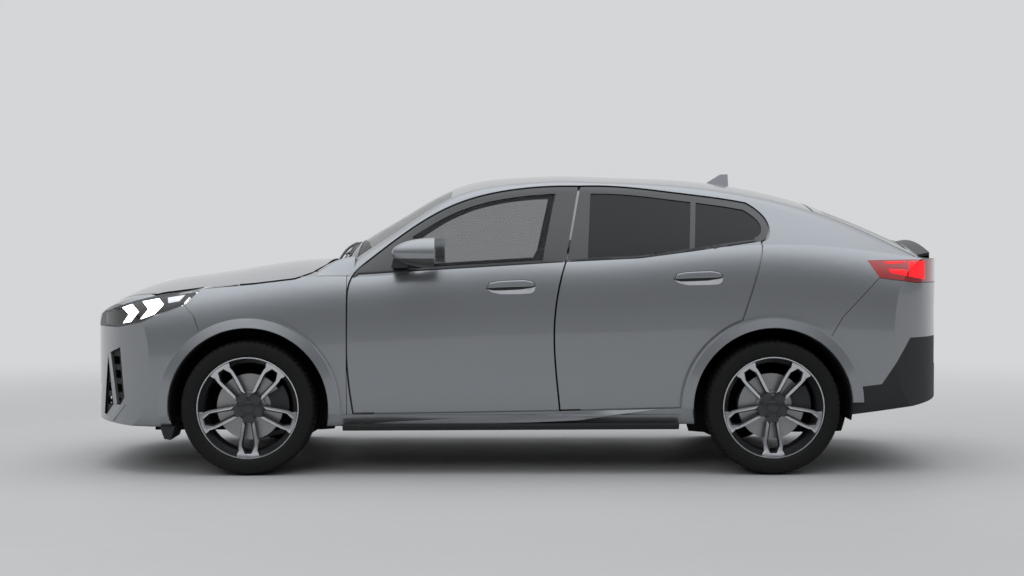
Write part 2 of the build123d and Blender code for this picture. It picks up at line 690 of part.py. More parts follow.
def wing_space():
    top = [(x, z) for x, z in bonnet_line(-SHUT_GAP)[4:]]
    return side_prism([
        (NOSE + 563, BELT_HEIGHT - 229),
        *top,
        (BONNET_REAR + 4, BELT_HEIGHT + 60),
        (WING_REAR, BELT_HEIGHT + 60),
        (WING_REAR, SILL_HEIGHT - 60),
        (FRONT_AXLE, SILL_HEIGHT - 60),
        (FRONT_AXLE, HUB),
        (NOSE + 677, SILL_HEIGHT + 390),
        (NOSE + 612, BELT_HEIGHT - 282),
    ], -FAR, 0)


def make_wing():
    wing = (Body.panel & Body.left & wing_space()) - arch_cut(FRONT_AXLE, 0)
    wing = wing - windscreen_prism(0) - headlamp_space(SEAT_SEAM)
    wing = wing - block((-FAR * 2, FAR * 2), (POST_INNER - SIDE, FAR), (0, BELT_HEIGHT - 160))
    return largest(wing - block((BONNET_REAR - 150, FAR), (-SCUTTLE_HALF, FAR), (0, HIGH)))


GRILLE_TOP = [(-SIDE + 530, SILL_HEIGHT + 470), (SIDE - 530, SILL_HEIGHT + 470),
              (SIDE - 590, SILL_HEIGHT + 270), (-SIDE + 590, SILL_HEIGHT + 270)]
GRILLE_LOW = [(-SIDE + 400, SILL_HEIGHT + 190), (SIDE - 400, SILL_HEIGHT + 190),
              (SIDE - 460, SILL_HEIGHT + 60), (-SIDE + 460, SILL_HEIGHT + 60)]
INTAKE = [(NOSE + 123, SILL_HEIGHT + 360), (NOSE + 210, SILL_HEIGHT + 400),
          (NOSE + 236, SILL_HEIGHT + 140), (NOSE + 165, SILL_HEIGHT + 30), (NOSE + 90, SILL_HEIGHT + 40)]
GRILLE_BAR = 14
GRILLE_SLOT = 20


def closed(points):
    return [[a, b] for a, b in zip(points, points[1:] + points[:1])]


def front_opening(points, shrink):
    (loop,) = [[point for run in grown(closed(points), -shrink) for point in run[:-1]]]
    return front_prism(loop, NOSE - 100, NOSE + 260)


def intake_opening(shrink):
    return left_prism(grown(closed(INTAKE), -shrink)) & block((-FAR * 2, FAR * 2), (-FAR, 460 - SIDE), (0, HIGH))


def make_front_bumper():
    region = side_prism([
        (NOSE - 60, 60),
        (FRONT_AXLE, 60),
        (FRONT_AXLE, HUB),
        (NOSE + 677 - PANEL_SEAM, SILL_HEIGHT + 390),
        (NOSE + 612 - PANEL_SEAM, BELT_HEIGHT - 282),
        (NOSE + 563 - PANEL_SEAM, BELT_HEIGHT - 229),
        (NOSE + 563 - PANEL_SEAM, BELT_HEIGHT),
        (NOSE - 60, BELT_HEIGHT),
    ], -FAR, FAR)
    bumper = Body.panel & region
    lamp = headlamp_space(SEAT_SEAM)
    intake = intake_opening(0)
    for cut in (lamp, other_side(lamp), bonnet_space(SHUT_GAP, 75 - SHUT_GAP), intake, other_side(intake),
                front_opening(GRILLE_TOP, 0), front_opening(GRILLE_LOW, 0),
                across(FRONT_AXLE, HUB, ARCH_RADIUS, -FAR, FAR)):
        bumper = bumper - cut
    return one(bumper)


# Slatted inserts that fill the openings in the bumper
def make_grilles():
    layer = Body.under_skin - Body.under_panel
    pieces = []
    for points in (GRILLE_TOP, GRILLE_LOW):
        insert = layer & front_opening(points, RUNNING_FIT)
        inside = front_opening(points, GRILLE_BAR)
        low = min(z for y, z in points)
        high = max(z for y, z in points)
        level = low + GRILLE_BAR
        while level + GRILLE_SLOT < high:
            slot = block((NOSE - 100, NOSE + 260), (-SIDE, SIDE), (level, level + GRILLE_SLOT))
            insert = insert - (slot & inside)
            level += GRILLE_SLOT + GRILLE_BAR
        pieces.append(one(insert))
    intake = layer & intake_opening(RUNNING_FIT)
    inside = intake_opening(GRILLE_BAR)
    for level in range(4):
        low = SILL_HEIGHT + 90 + level * 72
        intake = intake - (inside & block((-FAR * 2, FAR * 2), (-FAR, 0), (low, low + 44)))
    return Compound(children=pieces + [one(intake), one(other_side(intake))])


def make_headlamp():
    return one((Body.panel & headlamp_space(0)) - bonnet_space(SHUT_GAP, 75 - SHUT_GAP))


def make_tail_lamp():
    return one(Body.panel & tail_lamp_space(0))


def make_rear_bumper():
    half = rear_bumper_space(0) - diffuser_space(SEAT_SEAM) - tail_lamp_space(SEAT_SEAM)
    bumper = (Body.panel & half) - tailgate_space(SHUT_GAP) - arch_cut(REAR_AXLE, 0)
    bumper = one(bumper)
    return one(bumper + other_side(bumper))


def make_diffuser():
    half = (Body.panel & diffuser_space(0)) - arch_cut(REAR_AXLE, 0)
    half = one(half)
    return one(half + other_side(half))


BONNET_HINGE_X = FRONT_AXLE + 497
BONNET_HINGE_Z = BELT_HEIGHT - 60
BONNET_HINGE_Y = SIDE - 342
TAILGATE_HINGE_X = TAILGATE_EDGE - 60
TAILGATE_HINGE_Z = ROOF_HEIGHT - 176
TAILGATE_HINGE_Y = 300
LID_ARM = 10


def make_bonnet():
    bonnet = one(Body.panel & bonnet_space(0, 75))
    for side in (-1, 1):
        arm = side_prism([
            (BONNET_REAR - 150, BELT_HEIGHT - 20),
            (BONNET_REAR - 60, BELT_HEIGHT - 20),
            (BONNET_REAR - 44, BELT_HEIGHT - 70),
            (BONNET_REAR - 4, BELT_HEIGHT - 100),
            (BONNET_REAR + 44, BELT_HEIGHT - 120),
            (BONNET_REAR + 92, BELT_HEIGHT - 106),
            (BONNET_HINGE_X - 4, BONNET_HINGE_Z + 8),
            (BONNET_HINGE_X + 8, BONNET_HINGE_Z + 8),
            (BONNET_HINGE_X + 8, BONNET_HINGE_Z - 10),
            (BONNET_REAR + 104, BELT_HEIGHT - 124),
            (BONNET_REAR + 47, BELT_HEIGHT - 136),
            (BONNET_REAR - 12, BELT_HEIGHT - 118),
            (BONNET_REAR - 90, BELT_HEIGHT - 90),
            (BONNET_REAR - 150, BELT_HEIGHT - 84),
        ], side * BONNET_HINGE_Y - LID_ARM / 2, side * BONNET_HINGE_Y + LID_ARM / 2)
        bonnet = bonnet + (arm & Body.under_skin)
        pin = across(BONNET_HINGE_X, BONNET_HINGE_Z, HINGE_PIN_RADIUS, side * BONNET_HINGE_Y - 22,
                     side * BONNET_HINGE_Y + 22)
        bonnet = bonnet + pin
    return one(bonnet)


def make_roof():
    roof = one((Body.outer - Body.cabin) & roof_prism(0))
    for side in (-1, 1):
        y = side * TAILGATE_HINGE_Y
        pocket = block((TAILGATE_HINGE_X - 16, FAR), (y - 24, y + 24), (BELT_HEIGHT, TAILGATE_HINGE_Z + 8))
        roof = roof - pocket
        for low in (y - 24, y + 12):
            lug = block((TAILGATE_HINGE_X - 20, TAILGATE_HINGE_X + 8), (low, low + 12),
                        (TAILGATE_HINGE_Z - 9, TAILGATE_HINGE_Z + 12))
            roof = roof + (lug - across(TAILGATE_HINGE_X, TAILGATE_HINGE_Z, HINGE_PIN_RADIUS + RUNNING_FIT,
                                        -FAR, FAR))
    fin = loft_fin()
    return one(roof + fin)


def loft_fin():
    base = REAR_AXLE - 190
    foot = Wire.make_polygon([(base - 75, -20, ROOF_HEIGHT - 50), (base + 70, -24, ROOF_HEIGHT - 60),
                              (base + 70, 24, ROOF_HEIGHT - 60), (base - 75, 20, ROOF_HEIGHT - 50)], close=True)
    tip = Wire.make_polygon([(base + 25, -3, ROOF_HEIGHT + 12), (base + 68, -3, ROOF_HEIGHT + 14),
                             (base + 68, 3, ROOF_HEIGHT + 14), (base + 25, 3, ROOF_HEIGHT + 12)], close=True)
    return Solid.make_loft([foot, tip], True)


def rear_glass_prism(shrink):
    half = ROOF_HALF - 28 - shrink
    front = TAILGATE_EDGE + 62 + shrink
    rear = TAIL - 196 - shrink
    return plan_prism([(front, -half), (rear, -half), (rear, half), (front, half)], BELT_HEIGHT, HIGH)


def make_tailgate():
    gate = one(((Body.outer - Body.cabin) & tailgate_space(0)) - rear_glass_prism(0))
    for side in (-1, 1):
        y = side * TAILGATE_HINGE_Y
        arm = side_prism([
            (TAILGATE_HINGE_X - 6, TAILGATE_HINGE_Z + 6),
            (TAILGATE_HINGE_X - 6, TAILGATE_HINGE_Z - 6),
            (TAILGATE_HINGE_X - 2, TAILGATE_HINGE_Z - 66),
            (TAILGATE_HINGE_X + 6, TAILGATE_HINGE_Z - 76),
            (TAILGATE_HINGE_X + 52, TAILGATE_HINGE_Z - 74),
            (TAILGATE_EDGE + 40, TAILGATE_HINGE_Z - 48),
            (TAILGATE_EDGE + 40, TAILGATE_HINGE_Z - 22),
            (TAILGATE_HINGE_X + 62, TAILGATE_HINGE_Z - 40),
            (TAILGATE_HINGE_X + 44, TAILGATE_HINGE_Z - 58),
            (TAILGATE_HINGE_X + 14, TAILGATE_HINGE_Z - 60),
            (TAILGATE_HINGE_X + 6, TAILGATE_HINGE_Z + 2),
        ], y - LID_ARM / 2, y + LID_ARM / 2)
        pin = across(TAILGATE_HINGE_X, TAILGATE_HINGE_Z, HINGE_PIN_RADIUS, y - 23, y + 23)
        gate = gate + arm
        gate = gate + pin
    return one(gate)


def make_spoiler():
    station = Upper(TAIL - 164, SIDE - 152, BELT_HEIGHT - 125, SIDE - 282, ROOF_HEIGHT - 449, ROOF_HEIGHT - 369)
    lip = Solid.extrude(Face(upper_section(station, 0)), Vector(71, 0, 15))
    lip = lip - lip.moved(Location((-2, 0, -15)))
    half = ROOF_HALF + 16
    lip = lip & block((TAIL - 163, TAIL), (-half, half), (BELT_HEIGHT - 30, HIGH))
    return one(lip - Body.outer)

# Flared trims that stand on the body side round each arch
def make_arch_trims():
    flare = lower_body(-ARCH_FLARE) & plan_limit(-ARCH_FLARE)
    trims = []
    for axle, front_end, rear_end in (
        (FRONT_AXLE, SILL_HEIGHT + 42, SILL_HEIGHT + 62),
        (REAR_AXLE, SILL_HEIGHT + 88, SILL_HEIGHT + 120),
    ):
        ring = across(axle, HUB, ARCH_RADIUS + ARCH_TRIM_WIDTH, -FAR, 520 - SIDE)
        ring = ring - across(axle, HUB, ARCH_RADIUS, -FAR, FAR)
        ring = ring - block((-FAR * 2, axle), (-FAR, FAR), (-FAR, front_end))
        ring = ring - block((axle, FAR * 2), (-FAR, FAR), (-FAR, rear_end))
        trim = largest((flare & ring) - Body.outer)
        trims += [trim, other_side(trim)]
    return Compound(children=trims)


def make_sill_trims():
    flare = lower_body(-SILL_TRIM_DEPTH)
    reach = ARCH_RADIUS + ARCH_TRIM_WIDTH + 6
    span = block((FRONT_AXLE + reach, REAR_AXLE - reach), (-FAR, 520 - SIDE), (SILL_HEIGHT + 8, SILL_HEIGHT + 56))
    trim = largest((flare & span) - Body.outer)
    return Compound(children=[trim, other_side(trim)])


def make_arch_liners():
    liners = []
    for axle, inner in ((FRONT_AXLE, RAIL_FACE), (REAR_AXLE, LINER_REAR_FACE)):
        outside = ARCH_RADIUS - RUNNING_FIT
        tub = across(axle, HUB, outside, 24 - SIDE, -inner)
        tub = tub - across(axle, HUB, outside - LINER_WALL, -FAR, FAR)
        tub = tub - block((-FAR * 2, FAR * 2), (-FAR, FAR), (-FAR, SILL_HEIGHT + 30))
        wall = across(axle, HUB, outside - 1, -inner - LINER_WALL, -inner)
        wall = wall - block((-FAR * 2, FAR * 2), (-FAR, FAR), (-FAR, HUB + 110))
        tub = one(tub + wall)
        liners += [tub, other_side(tub)]
    return Compound(children=liners)


TUNNEL_TOP = FLOOR_TOP + 110
TUNNEL_HALF = 120
TUNNEL_WALL = 18
BOOT_END = TAIL - 100
BULKHEAD_FRONT = BULKHEAD_REAR - BULKHEAD_WALL


def make_floor():
    profile = [
        (BULKHEAD_FRONT, FLOOR_TOP - FLOOR_WALL),
        (BOOT_START, FLOOR_TOP - FLOOR_WALL),
        (BOOT_START, BOOT_FLOOR - FLOOR_WALL),
        (BOOT_END, BOOT_FLOOR - FLOOR_WALL),
        (BOOT_END, SILL_HEIGHT + 485),
        (BOOT_END - FLOOR_WALL, SILL_HEIGHT + 485),
        (BOOT_END - FLOOR_WALL, BOOT_FLOOR),
        (BOOT_START - FLOOR_WALL, BOOT_FLOOR),
        (BOOT_START - FLOOR_WALL, FLOOR_TOP),
        (BULKHEAD_FRONT, FLOOR_TOP),
    ]
    floor = side_prism(profile, -SILL_INNER, SILL_INNER)
    behind_arch = REAR_AXLE + ARCH_RADIUS + 8
    for side in (-1, 1):
        for x_range, inner in (
            ((REAR_AXLE - 440, behind_arch), LINER_REAR_FACE),
            ((behind_arch - 1, FAR * 2), SIDE - 232),
            ((BOOT_END - 90, FAR * 2), SIDE - 412),
        ):
            floor = floor - block(x_range, sorted((side * inner, side * FAR)), (0, HIGH))
    tunnel_end = BOOT_START - 350
    tunnel = side_prism([
        (BULKHEAD_FRONT, FLOOR_TOP - 1),
        (BULKHEAD_FRONT, TUNNEL_TOP),
        (MID + 300, TUNNEL_TOP),
        (tunnel_end, FLOOR_TOP - 1),
    ], -TUNNEL_HALF, TUNNEL_HALF)
    hollow = side_prism([
        (BULKHEAD_FRONT, 0),
        (BULKHEAD_FRONT, TUNNEL_TOP - TUNNEL_WALL),
        (MID + 290, TUNNEL_TOP - TUNNEL_WALL),
        (tunnel_end - 90, 0),
    ], TUNNEL_WALL - TUNNEL_HALF, TUNNEL_HALF - TUNNEL_WALL)
    return one(floor + tunnel - hollow)


SCUTTLE_TOP = BELT_HEIGHT - 143
SCUTTLE_WALL = 12
RISER_FRONT = FRONT_AXLE + 519
RISER_WALL = 18
RISER_INSET = 8


def make_bulkhead():
    span = (BULKHEAD_FRONT, BULKHEAD_REAR)
    wall = block(span, (-POST_INNER, POST_INNER), (TUNNEL_TOP + 6, SCUTTLE_TOP))
    for side in (-1, 1):
        inner = side * (TUNNEL_HALF + 2)
        wall = wall + block(span, sorted((inner, side * (SILL_INNER - 12))), (FLOOR_TOP, TUNNEL_TOP + 7))
    shelf = block((BONNET_REAR + 12, RISER_FRONT + RISER_WALL), (-SCUTTLE_HALF, SCUTTLE_HALF),
                  (SCUTTLE_TOP - SCUTTLE_WALL, SCUTTLE_TOP))
    riser_half = SCUTTLE_HALF - RISER_INSET
    riser = block((RISER_FRONT, RISER_FRONT + RISER_WALL), (-riser_half, riser_half), (SCUTTLE_TOP - 1, HIGH))
    wall = wall.fuse(shelf, riser & upper_body(GLASS_DEPTH + GLASS_THICKNESS + RUNNING_FIT))
    bore = across(BONNET_HINGE_X, BONNET_HINGE_Z, HINGE_PIN_RADIUS + RUNNING_FIT, -FAR, FAR)
    for side in (-1, 1):
        y = side * BONNET_HINGE_Y
        for low in (y - 22, y + 9):
            lug = block((BONNET_HINGE_X - 14, BONNET_HINGE_X + 14), (low, low + 13),
                        (SCUTTLE_TOP - 1, BONNET_HINGE_Z + 12))
            wall = wall + (lug - bore)
    return one(wall)


STEER_Y = WHEEL_Y - 46
BALL_JOINT_Z = HUB - 150
SUBFRAME_TOP = SILL_HEIGHT + 30
SUBFRAME_HALF = 400
RAIL_WIDTH = 66


def make_front_subframe():
    beam = block((FRONT_AXLE - 110, FRONT_AXLE + 160), (-SUBFRAME_HALF, SUBFRAME_HALF),
                 (SUBFRAME_TOP - 70, SUBFRAME_TOP))
    radiator = block((NOSE + 215, NOSE + 240), (40 - RAIL_FACE, RAIL_FACE - 40), (SILL_HEIGHT + 120, SILL_HEIGHT + 500))
    bumper_beam = block((NOSE + 110, NOSE + 150), (-RAIL_FACE, RAIL_FACE), (SILL_HEIGHT + 196, SILL_HEIGHT + 262))
    pieces = [radiator, bumper_beam]
    for side in (-1, 1):
        rail_span = sorted((side * (RAIL_FACE - RAIL_WIDTH), side * (RAIL_FACE - RUNNING_FIT)))
        rail = block((NOSE + 149, BULKHEAD_FRONT), rail_span, (SILL_HEIGHT + 180, SILL_HEIGHT + 280))
        drop = block((FRONT_AXLE + 60, FRONT_AXLE + 160), sorted((side * (SUBFRAME_HALF - 60), side * (RAIL_FACE - 6))),
                     (SUBFRAME_TOP - 70, SILL_HEIGHT + 181))
        y = side * STEER_Y
        root = side * (SUBFRAME_HALF - 30)
        arm = plan_prism([(FRONT_AXLE - 100, root), (FRONT_AXLE + 150, root), (FRONT_AXLE + 28, y),
                          (FRONT_AXLE - 28, y)], BALL_JOINT_Z - 28, BALL_JOINT_Z - 4)
        cup = upright(FRONT_AXLE, y, 28, BALL_JOINT_Z - 28, BALL_JOINT_Z - RUNNING_FIT)
        foot = block((FRONT_AXLE - 100, FRONT_AXLE + 150), sorted((side * (SUBFRAME_HALF - 60), side * SUBFRAME_HALF)),
                     (BALL_JOINT_Z - 28, SUBFRAME_TOP - 60))
        pieces += [rail, drop, arm, cup, foot]
    return one(beam.fuse(*pieces))


def make_engine():
    lump = block((FRONT_AXLE - 340, FRONT_AXLE + 190), (-330, 330), (SUBFRAME_TOP, BELT_HEIGHT - 260))
    lump = fillet(lump.edges().filter_by(Axis.Z), 40)
    cover = block((FRONT_AXLE - 280, FRONT_AXLE + 120), (-260, 260), (BELT_HEIGHT - 261, BELT_HEIGHT - 215))
    return one(lump + cover)


DISC_INNER_FACE = WHEEL_OFFSET - 46
DISC_OUTER_FACE = DISC_INNER_FACE + DISC_THICKNESS
BRAKE_CLEARANCE = 5
CARRIER_FACE = DISC_INNER_FACE - BRAKE_CLEARANCE
CARRIER_BACK = CARRIER_FACE - 60
CARRIER_RADIUS = 50
JAW = 9


# Brake caliper: a jaw on each side of the disc and the bridge over its edge
def make_caliper(axle):
    inner_end = CARRIER_FACE - 29
    outer_start = DISC_OUTER_FACE + BRAKE_CLEARANCE
    rim_side = DISC_RADIUS + 34
    rings = []
    for low, high, inner in (
        (inner_end, CARRIER_FACE, DISC_RADIUS - 70),
        (outer_start, outer_start + JAW, DISC_RADIUS - 60),
        (inner_end, outer_start + JAW, DISC_RADIUS + BRAKE_CLEARANCE + 1),
    ):
        ring = across(axle, HUB, rim_side, -WHEEL_Y - high, -WHEEL_Y - low)
        rings.append(ring - across(axle, HUB, inner, -FAR, FAR))
    wedge = side_prism([(axle, HUB), (axle + 400, HUB - 60), (axle + 400, HUB + 260)], -FAR, FAR)
    return one(rings[0].fuse(*rings[1:]) & wedge)


def hub_carrier(axle):
    face = -WHEEL_Y - CARRIER_FACE
    carrier = across(axle, HUB, CARRIER_RADIUS, face, -WHEEL_Y - CARRIER_BACK)
    spindle = across(axle, HUB, SPINDLE_RADIUS, -WHEEL_Y - WHEEL_OFFSET - 24, face + 1)
    bracket = block((axle, axle + DISC_RADIUS - 40), (face, face + 24), (HUB + 4, HUB + 54))
    return carrier.fuse(spindle, bracket, make_caliper(axle))


def make_knuckle():
    face = -WHEEL_Y - CARRIER_FACE
    back = -WHEEL_Y - CARRIER_BACK
    leg = front_prism([(-STEER_Y - 22, BALL_JOINT_Z), (22 - STEER_Y, BALL_JOINT_Z), (back, HUB + 20), (face, HUB + 20),
                       (face, HUB - 60)], FRONT_AXLE - 24, FRONT_AXLE + 24)
    steering_arm = plan_prism([(FRONT_AXLE, face + 10), (FRONT_AXLE + 130, back + 10), (FRONT_AXLE + 130, back + 34),
                               (FRONT_AXLE, back)], HUB - 62, HUB - 40)
    return one(hub_carrier(FRONT_AXLE).fuse(leg, steering_arm))


def make_rear_axle():
    beam = block((REAR_AXLE - 90, REAR_AXLE + 90), (-470, 470), (HUB - 70, HUB + 30))
    pieces = []
    for side in (-1, 1):
        carrier = one(hub_carrier(REAR_AXLE))
        if side > 0:
            carrier = other_side(carrier)
        arm = block((REAR_AXLE - 40, REAR_AXLE + 40), sorted((side * 460, side * (WHEEL_Y + CARRIER_BACK + 8))),
                    (HUB - 40, HUB + 20))
        for x in (REAR_AXLE - 80, REAR_AXLE + 20):
            pieces.append(block((x, x + 60), sorted((side * 380, side * 450)), (HUB + 20, BOOT_FLOOR - FLOOR_WALL)))
        pieces += [carrier, arm]
    return one(beam.fuse(*pieces))


# Turned shapes are drawn as (distance outboard of the wheel centre, radius)
def turned(points, axle):
    corners = [(axle, -WHEEL_Y - out, HUB + radius) for out, radius in points]
    face = Face(Wire.make_polygon(corners, close=True))
    return Solid.revolve(face, 360, Axis((axle, 0, HUB), (0, 1, 0)))


RIM_EDGE = TYRE_WIDTH / 2 - 10
RIM_SEAT = RIM_RADIUS - BEAD_DEPTH
RIM_WELL = RIM_SEAT - 16
RIM_BORE = RIM_WELL - RIM_WALL
SPOKE_FACE = RIM_EDGE - 34


def make_rim(axle):
    edge = RIM_EDGE
    barrel = turned([
        (-edge, RIM_SEAT), (-edge, RIM_RADIUS), (10 - edge, RIM_RADIUS), (10 - edge, RIM_SEAT), (52 - edge, RIM_SEAT),
        (64 - edge, RIM_WELL), (edge - 54, RIM_WELL), (edge - 42, RIM_SEAT), (edge - 10, RIM_SEAT),
        (edge - 10, RIM_RADIUS), (edge, RIM_RADIUS), (edge, RIM_RADIUS - 8), (edge - 32, RIM_SEAT - 10),
        (edge - 52, RIM_BORE), (67 - edge, RIM_BORE), (52 - edge, RIM_SEAT - RIM_WALL), (12 - edge, RIM_SEAT - RIM_WALL),
    ], axle)
    spokes = []
    for count in range(SPOKE_COUNT):
        turn = 360 / SPOKE_COUNT * count + 90
        spokes.append(spoke_loop(axle).rotate(Axis((axle, 0, HUB), (0, 1, 0)), turn))
    rim = barrel.fuse(across(axle, HUB, HUB_RADIUS, -WHEEL_Y - SPOKE_FACE, -WHEEL_Y - WHEEL_OFFSET), *spokes)
    return one(rim - across(axle, HUB, SPINDLE_RADIUS + RUNNING_FIT, -WHEEL_Y - WHEEL_OFFSET - 26, FAR))


# One double spoke: two bars that part at the hub and close again at the rim
def spoke_loop(axle):
    reach = RIM_SEAT - 12
    outside = [(40, -34), (130, -44), (reach - 34, -57), (reach, -60), (reach, 60), (reach - 34, 57), (130, 44), (40, 34)]
    slot = [(84, -20), (140, -27), (reach - 52, -33), (reach - 22, -15), (reach - 22, 15), (reach - 52, 33), (140, 27),
            (84, 20)]
    low = -WHEEL_Y - SPOKE_FACE
    high = low + SPOKE_DEPTH
    bars = side_prism([(axle + r, HUB + w) for r, w in outside], low, high)
    return bars - side_prism([(axle + r, HUB + w) for r, w in slot], low - 1, high + 1)


def make_tyre(axle):
    half = TYRE_WIDTH / 2
    bead = RIM_EDGE - 10 - RUNNING_FIT
    seat = RIM_SEAT + RUNNING_FIT
    shoulder = (half - 20, TYRE_RADIUS - 6)
    wall = [(bead, RIM_RADIUS + 1), (bead + 11, RIM_RADIUS + 18), (half, TYRE_RADIUS - 42), (half - 4, TYRE_RADIUS - 20),
            shoulder]
    tread = [shoulder, (half - 60, TYRE_RADIUS - 1), (0, TYRE_RADIUS), (60 - half, TYRE_RADIUS - 1),
             (20 - half, TYRE_RADIUS - 6)]
    inner = [(-out, radius) for out, radius in reversed(wall)]

    def place(points):
        return [(axle, -WHEEL_Y - out, HUB + radius) for out, radius in points]

    edges = [spline(place(wall)), spline(place(tread)), spline(place(inner)),
             line(*place([inner[-1], (-bead, seat)])), line(*place([(-bead, seat), (bead, seat)])),
             line(*place([(bead, seat), wall[0]]))]
    return Solid.revolve(Face(Wire(edges)), 360, Axis((axle, 0, HUB), (0, 1, 0)))


def make_disc(axle):
    bore = SPINDLE_RADIUS + RUNNING_FIT
    return turned([
        (DISC_INNER_FACE, HAT_RADIUS + 14), (DISC_INNER_FACE, DISC_RADIUS), (DISC_OUTER_FACE, DISC_RADIUS),
        (DISC_OUTER_FACE, HAT_RADIUS), (WHEEL_OFFSET, HAT_RADIUS), (WHEEL_OFFSET, bore), (WHEEL_OFFSET - 7, bore),
        (WHEEL_OFFSET - 7, HAT_RADIUS - 8), (DISC_INNER_FACE + 6, HAT_RADIUS - 8), (DISC_INNER_FACE + 6, HAT_RADIUS + 14),
    ], axle)


SEAT_Y = 370
GRIP_CENTRE = (FRONT_AXLE + 955, -SEAT_Y, BELT_HEIGHT - 150)
GRIP_TILT = 24
GRIP_RADIUS = 180
GRIP_THICKNESS = 16
BOSS_RADIUS = 62
BOSS_DEPTH = 46
COLUMN_RADIUS = 44
COLUMN_LENGTH = 190


# A plane square to the steering column, its distance measured towards the driver
def column_plane(distance):
    lean = math.radians(GRIP_TILT)
    direction = Vector(math.cos(lean), 0, math.sin(lean))
    return Plane(Vector(*GRIP_CENTRE) + direction * distance, x_dir=(0, 1, 0), z_dir=direction)


def make_steering_wheel():
    wheel = column_plane(0) * Torus(GRIP_RADIUS, GRIP_THICKNESS)
    wheel = wheel + Solid.make_cylinder(BOSS_RADIUS, BOSS_DEPTH, column_plane(-BOSS_DEPTH))
    reach = GRIP_RADIUS - 40
    middle = 40 + reach / 2
    for place, size in (((-middle, 0), (reach, 32)), ((middle, 0), (reach, 32)), ((0, -middle), (32, reach))):
        wheel = wheel + column_plane(-14) * Pos(*place) * Box(*size, 14)
    return one(wheel)


def make_dashboard():
    half = POST_INNER - 6
    shelf_under = SCUTTLE_TOP - SCUTTLE_WALL - 2
    riser_rear = RISER_FRONT + RISER_WALL + 2
    shelf = side_prism([
        (BULKHEAD_REAR, shelf_under),
        (riser_rear, shelf_under),
        (riser_rear, BELT_HEIGHT - 118),
        (FRONT_AXLE + 740, BELT_HEIGHT - 140),
        (FRONT_AXLE + 806, BELT_HEIGHT - 200),
        (FRONT_AXLE + 780, BELT_HEIGHT - 320),
        (FRONT_AXLE + 690, BELT_HEIGHT - 460),
        (BULKHEAD_REAR, BELT_HEIGHT - 480),
    ], -half, half)
    console = side_prism([
        (FRONT_AXLE + 650, TUNNEL_TOP),
        (FRONT_AXLE + 650, BELT_HEIGHT - 400),
        (FRONT_AXLE + 830, BELT_HEIGHT - 480),
        (FRONT_AXLE + 1500, BELT_HEIGHT - 500),
        (FRONT_AXLE + 1520, TUNNEL_TOP),
    ], 2 - TUNNEL_HALF, TUNNEL_HALF - 2)
    column = Solid.make_cylinder(COLUMN_RADIUS, COLUMN_LENGTH, column_plane(-BOSS_DEPTH - RUNNING_FIT - COLUMN_LENGTH))
    return one(shelf.fuse(console, column))


def make_front_seat(side):
    y = side * SEAT_Y
    base = block((FRONT_AXLE + 1240, FRONT_AXLE + 1590), (y - 190, y + 190), (FLOOR_TOP, FLOOR_TOP + 135))
    cushion = block((FRONT_AXLE + 1130, FRONT_AXLE + 1650), (y - 248, y + 248), (FLOOR_TOP + 130, FLOOR_TOP + 295))
    seat = base + fillet(cushion.edges(), 45)
    recline = Location((FRONT_AXLE + 1640, y, FLOOR_TOP + 250), (0, 14, 0))
    back = fillet(Box(130, 488, 640).edges(), 45)
    rest = fillet(Box(90, 260, 180).edges(), 35)
    for shape, height in ((back, 320), (Box(24, 120, 90), 640), (rest, 740)):
        seat = seat + recline * Pos(0, 0, height) * shape
    return one(seat)


def make_rear_seat():
    half = LINER_REAR_FACE - 8
    heel = BOOT_START - FLOOR_WALL - SEAT_SEAM
    return side_prism([
        (BOOT_START - 330, FLOOR_TOP),
        (heel, FLOOR_TOP),
        (heel, BOOT_FLOOR),
        (BOOT_START + 190, BOOT_FLOOR),
        (BOOT_START + 330, BOOT_FLOOR + 560),
        (BOOT_START + 220, BOOT_FLOOR + 590),
        (BOOT_START + 80, BOOT_FLOOR + 90),
        (BOOT_START - 300, BOOT_FLOOR + 30),
        (BOOT_START - 340, BOOT_FLOOR - 60),
    ], -half, half)


MIRROR_FACE = FRONT_AXLE + 958
MIRROR_OUT = SIDE + 62
MIRROR_Z = BELT_HEIGHT + 40


def make_mirror():
    shell = Pos(MIRROR_FACE, -MIRROR_OUT, MIRROR_Z) * scale(Sphere(1), by=(218, 86, 77))
    shell = shell & block((-FAR * 2, MIRROR_FACE), (-FAR, 0), (0, HIGH))
    foot = side_prism([
        (MIRROR_FACE - 222, BELT_HEIGHT - 38),
        (MIRROR_FACE - 138, BELT_HEIGHT - 34),
        (MIRROR_FACE - 126, BELT_HEIGHT + 22),
        (MIRROR_FACE - 210, BELT_HEIGHT + 14),
    ], -SIDE - 50, 110 - SIDE)
    return largest((shell + foot) - Body.outer)


def pair(shape):
    return Compound(children=[shape, other_side(shape)])


def both_sides(pieces, name, shape):
    pieces[name + "_left"] = shape
    pieces[name + "_right"] = other_side(shape)


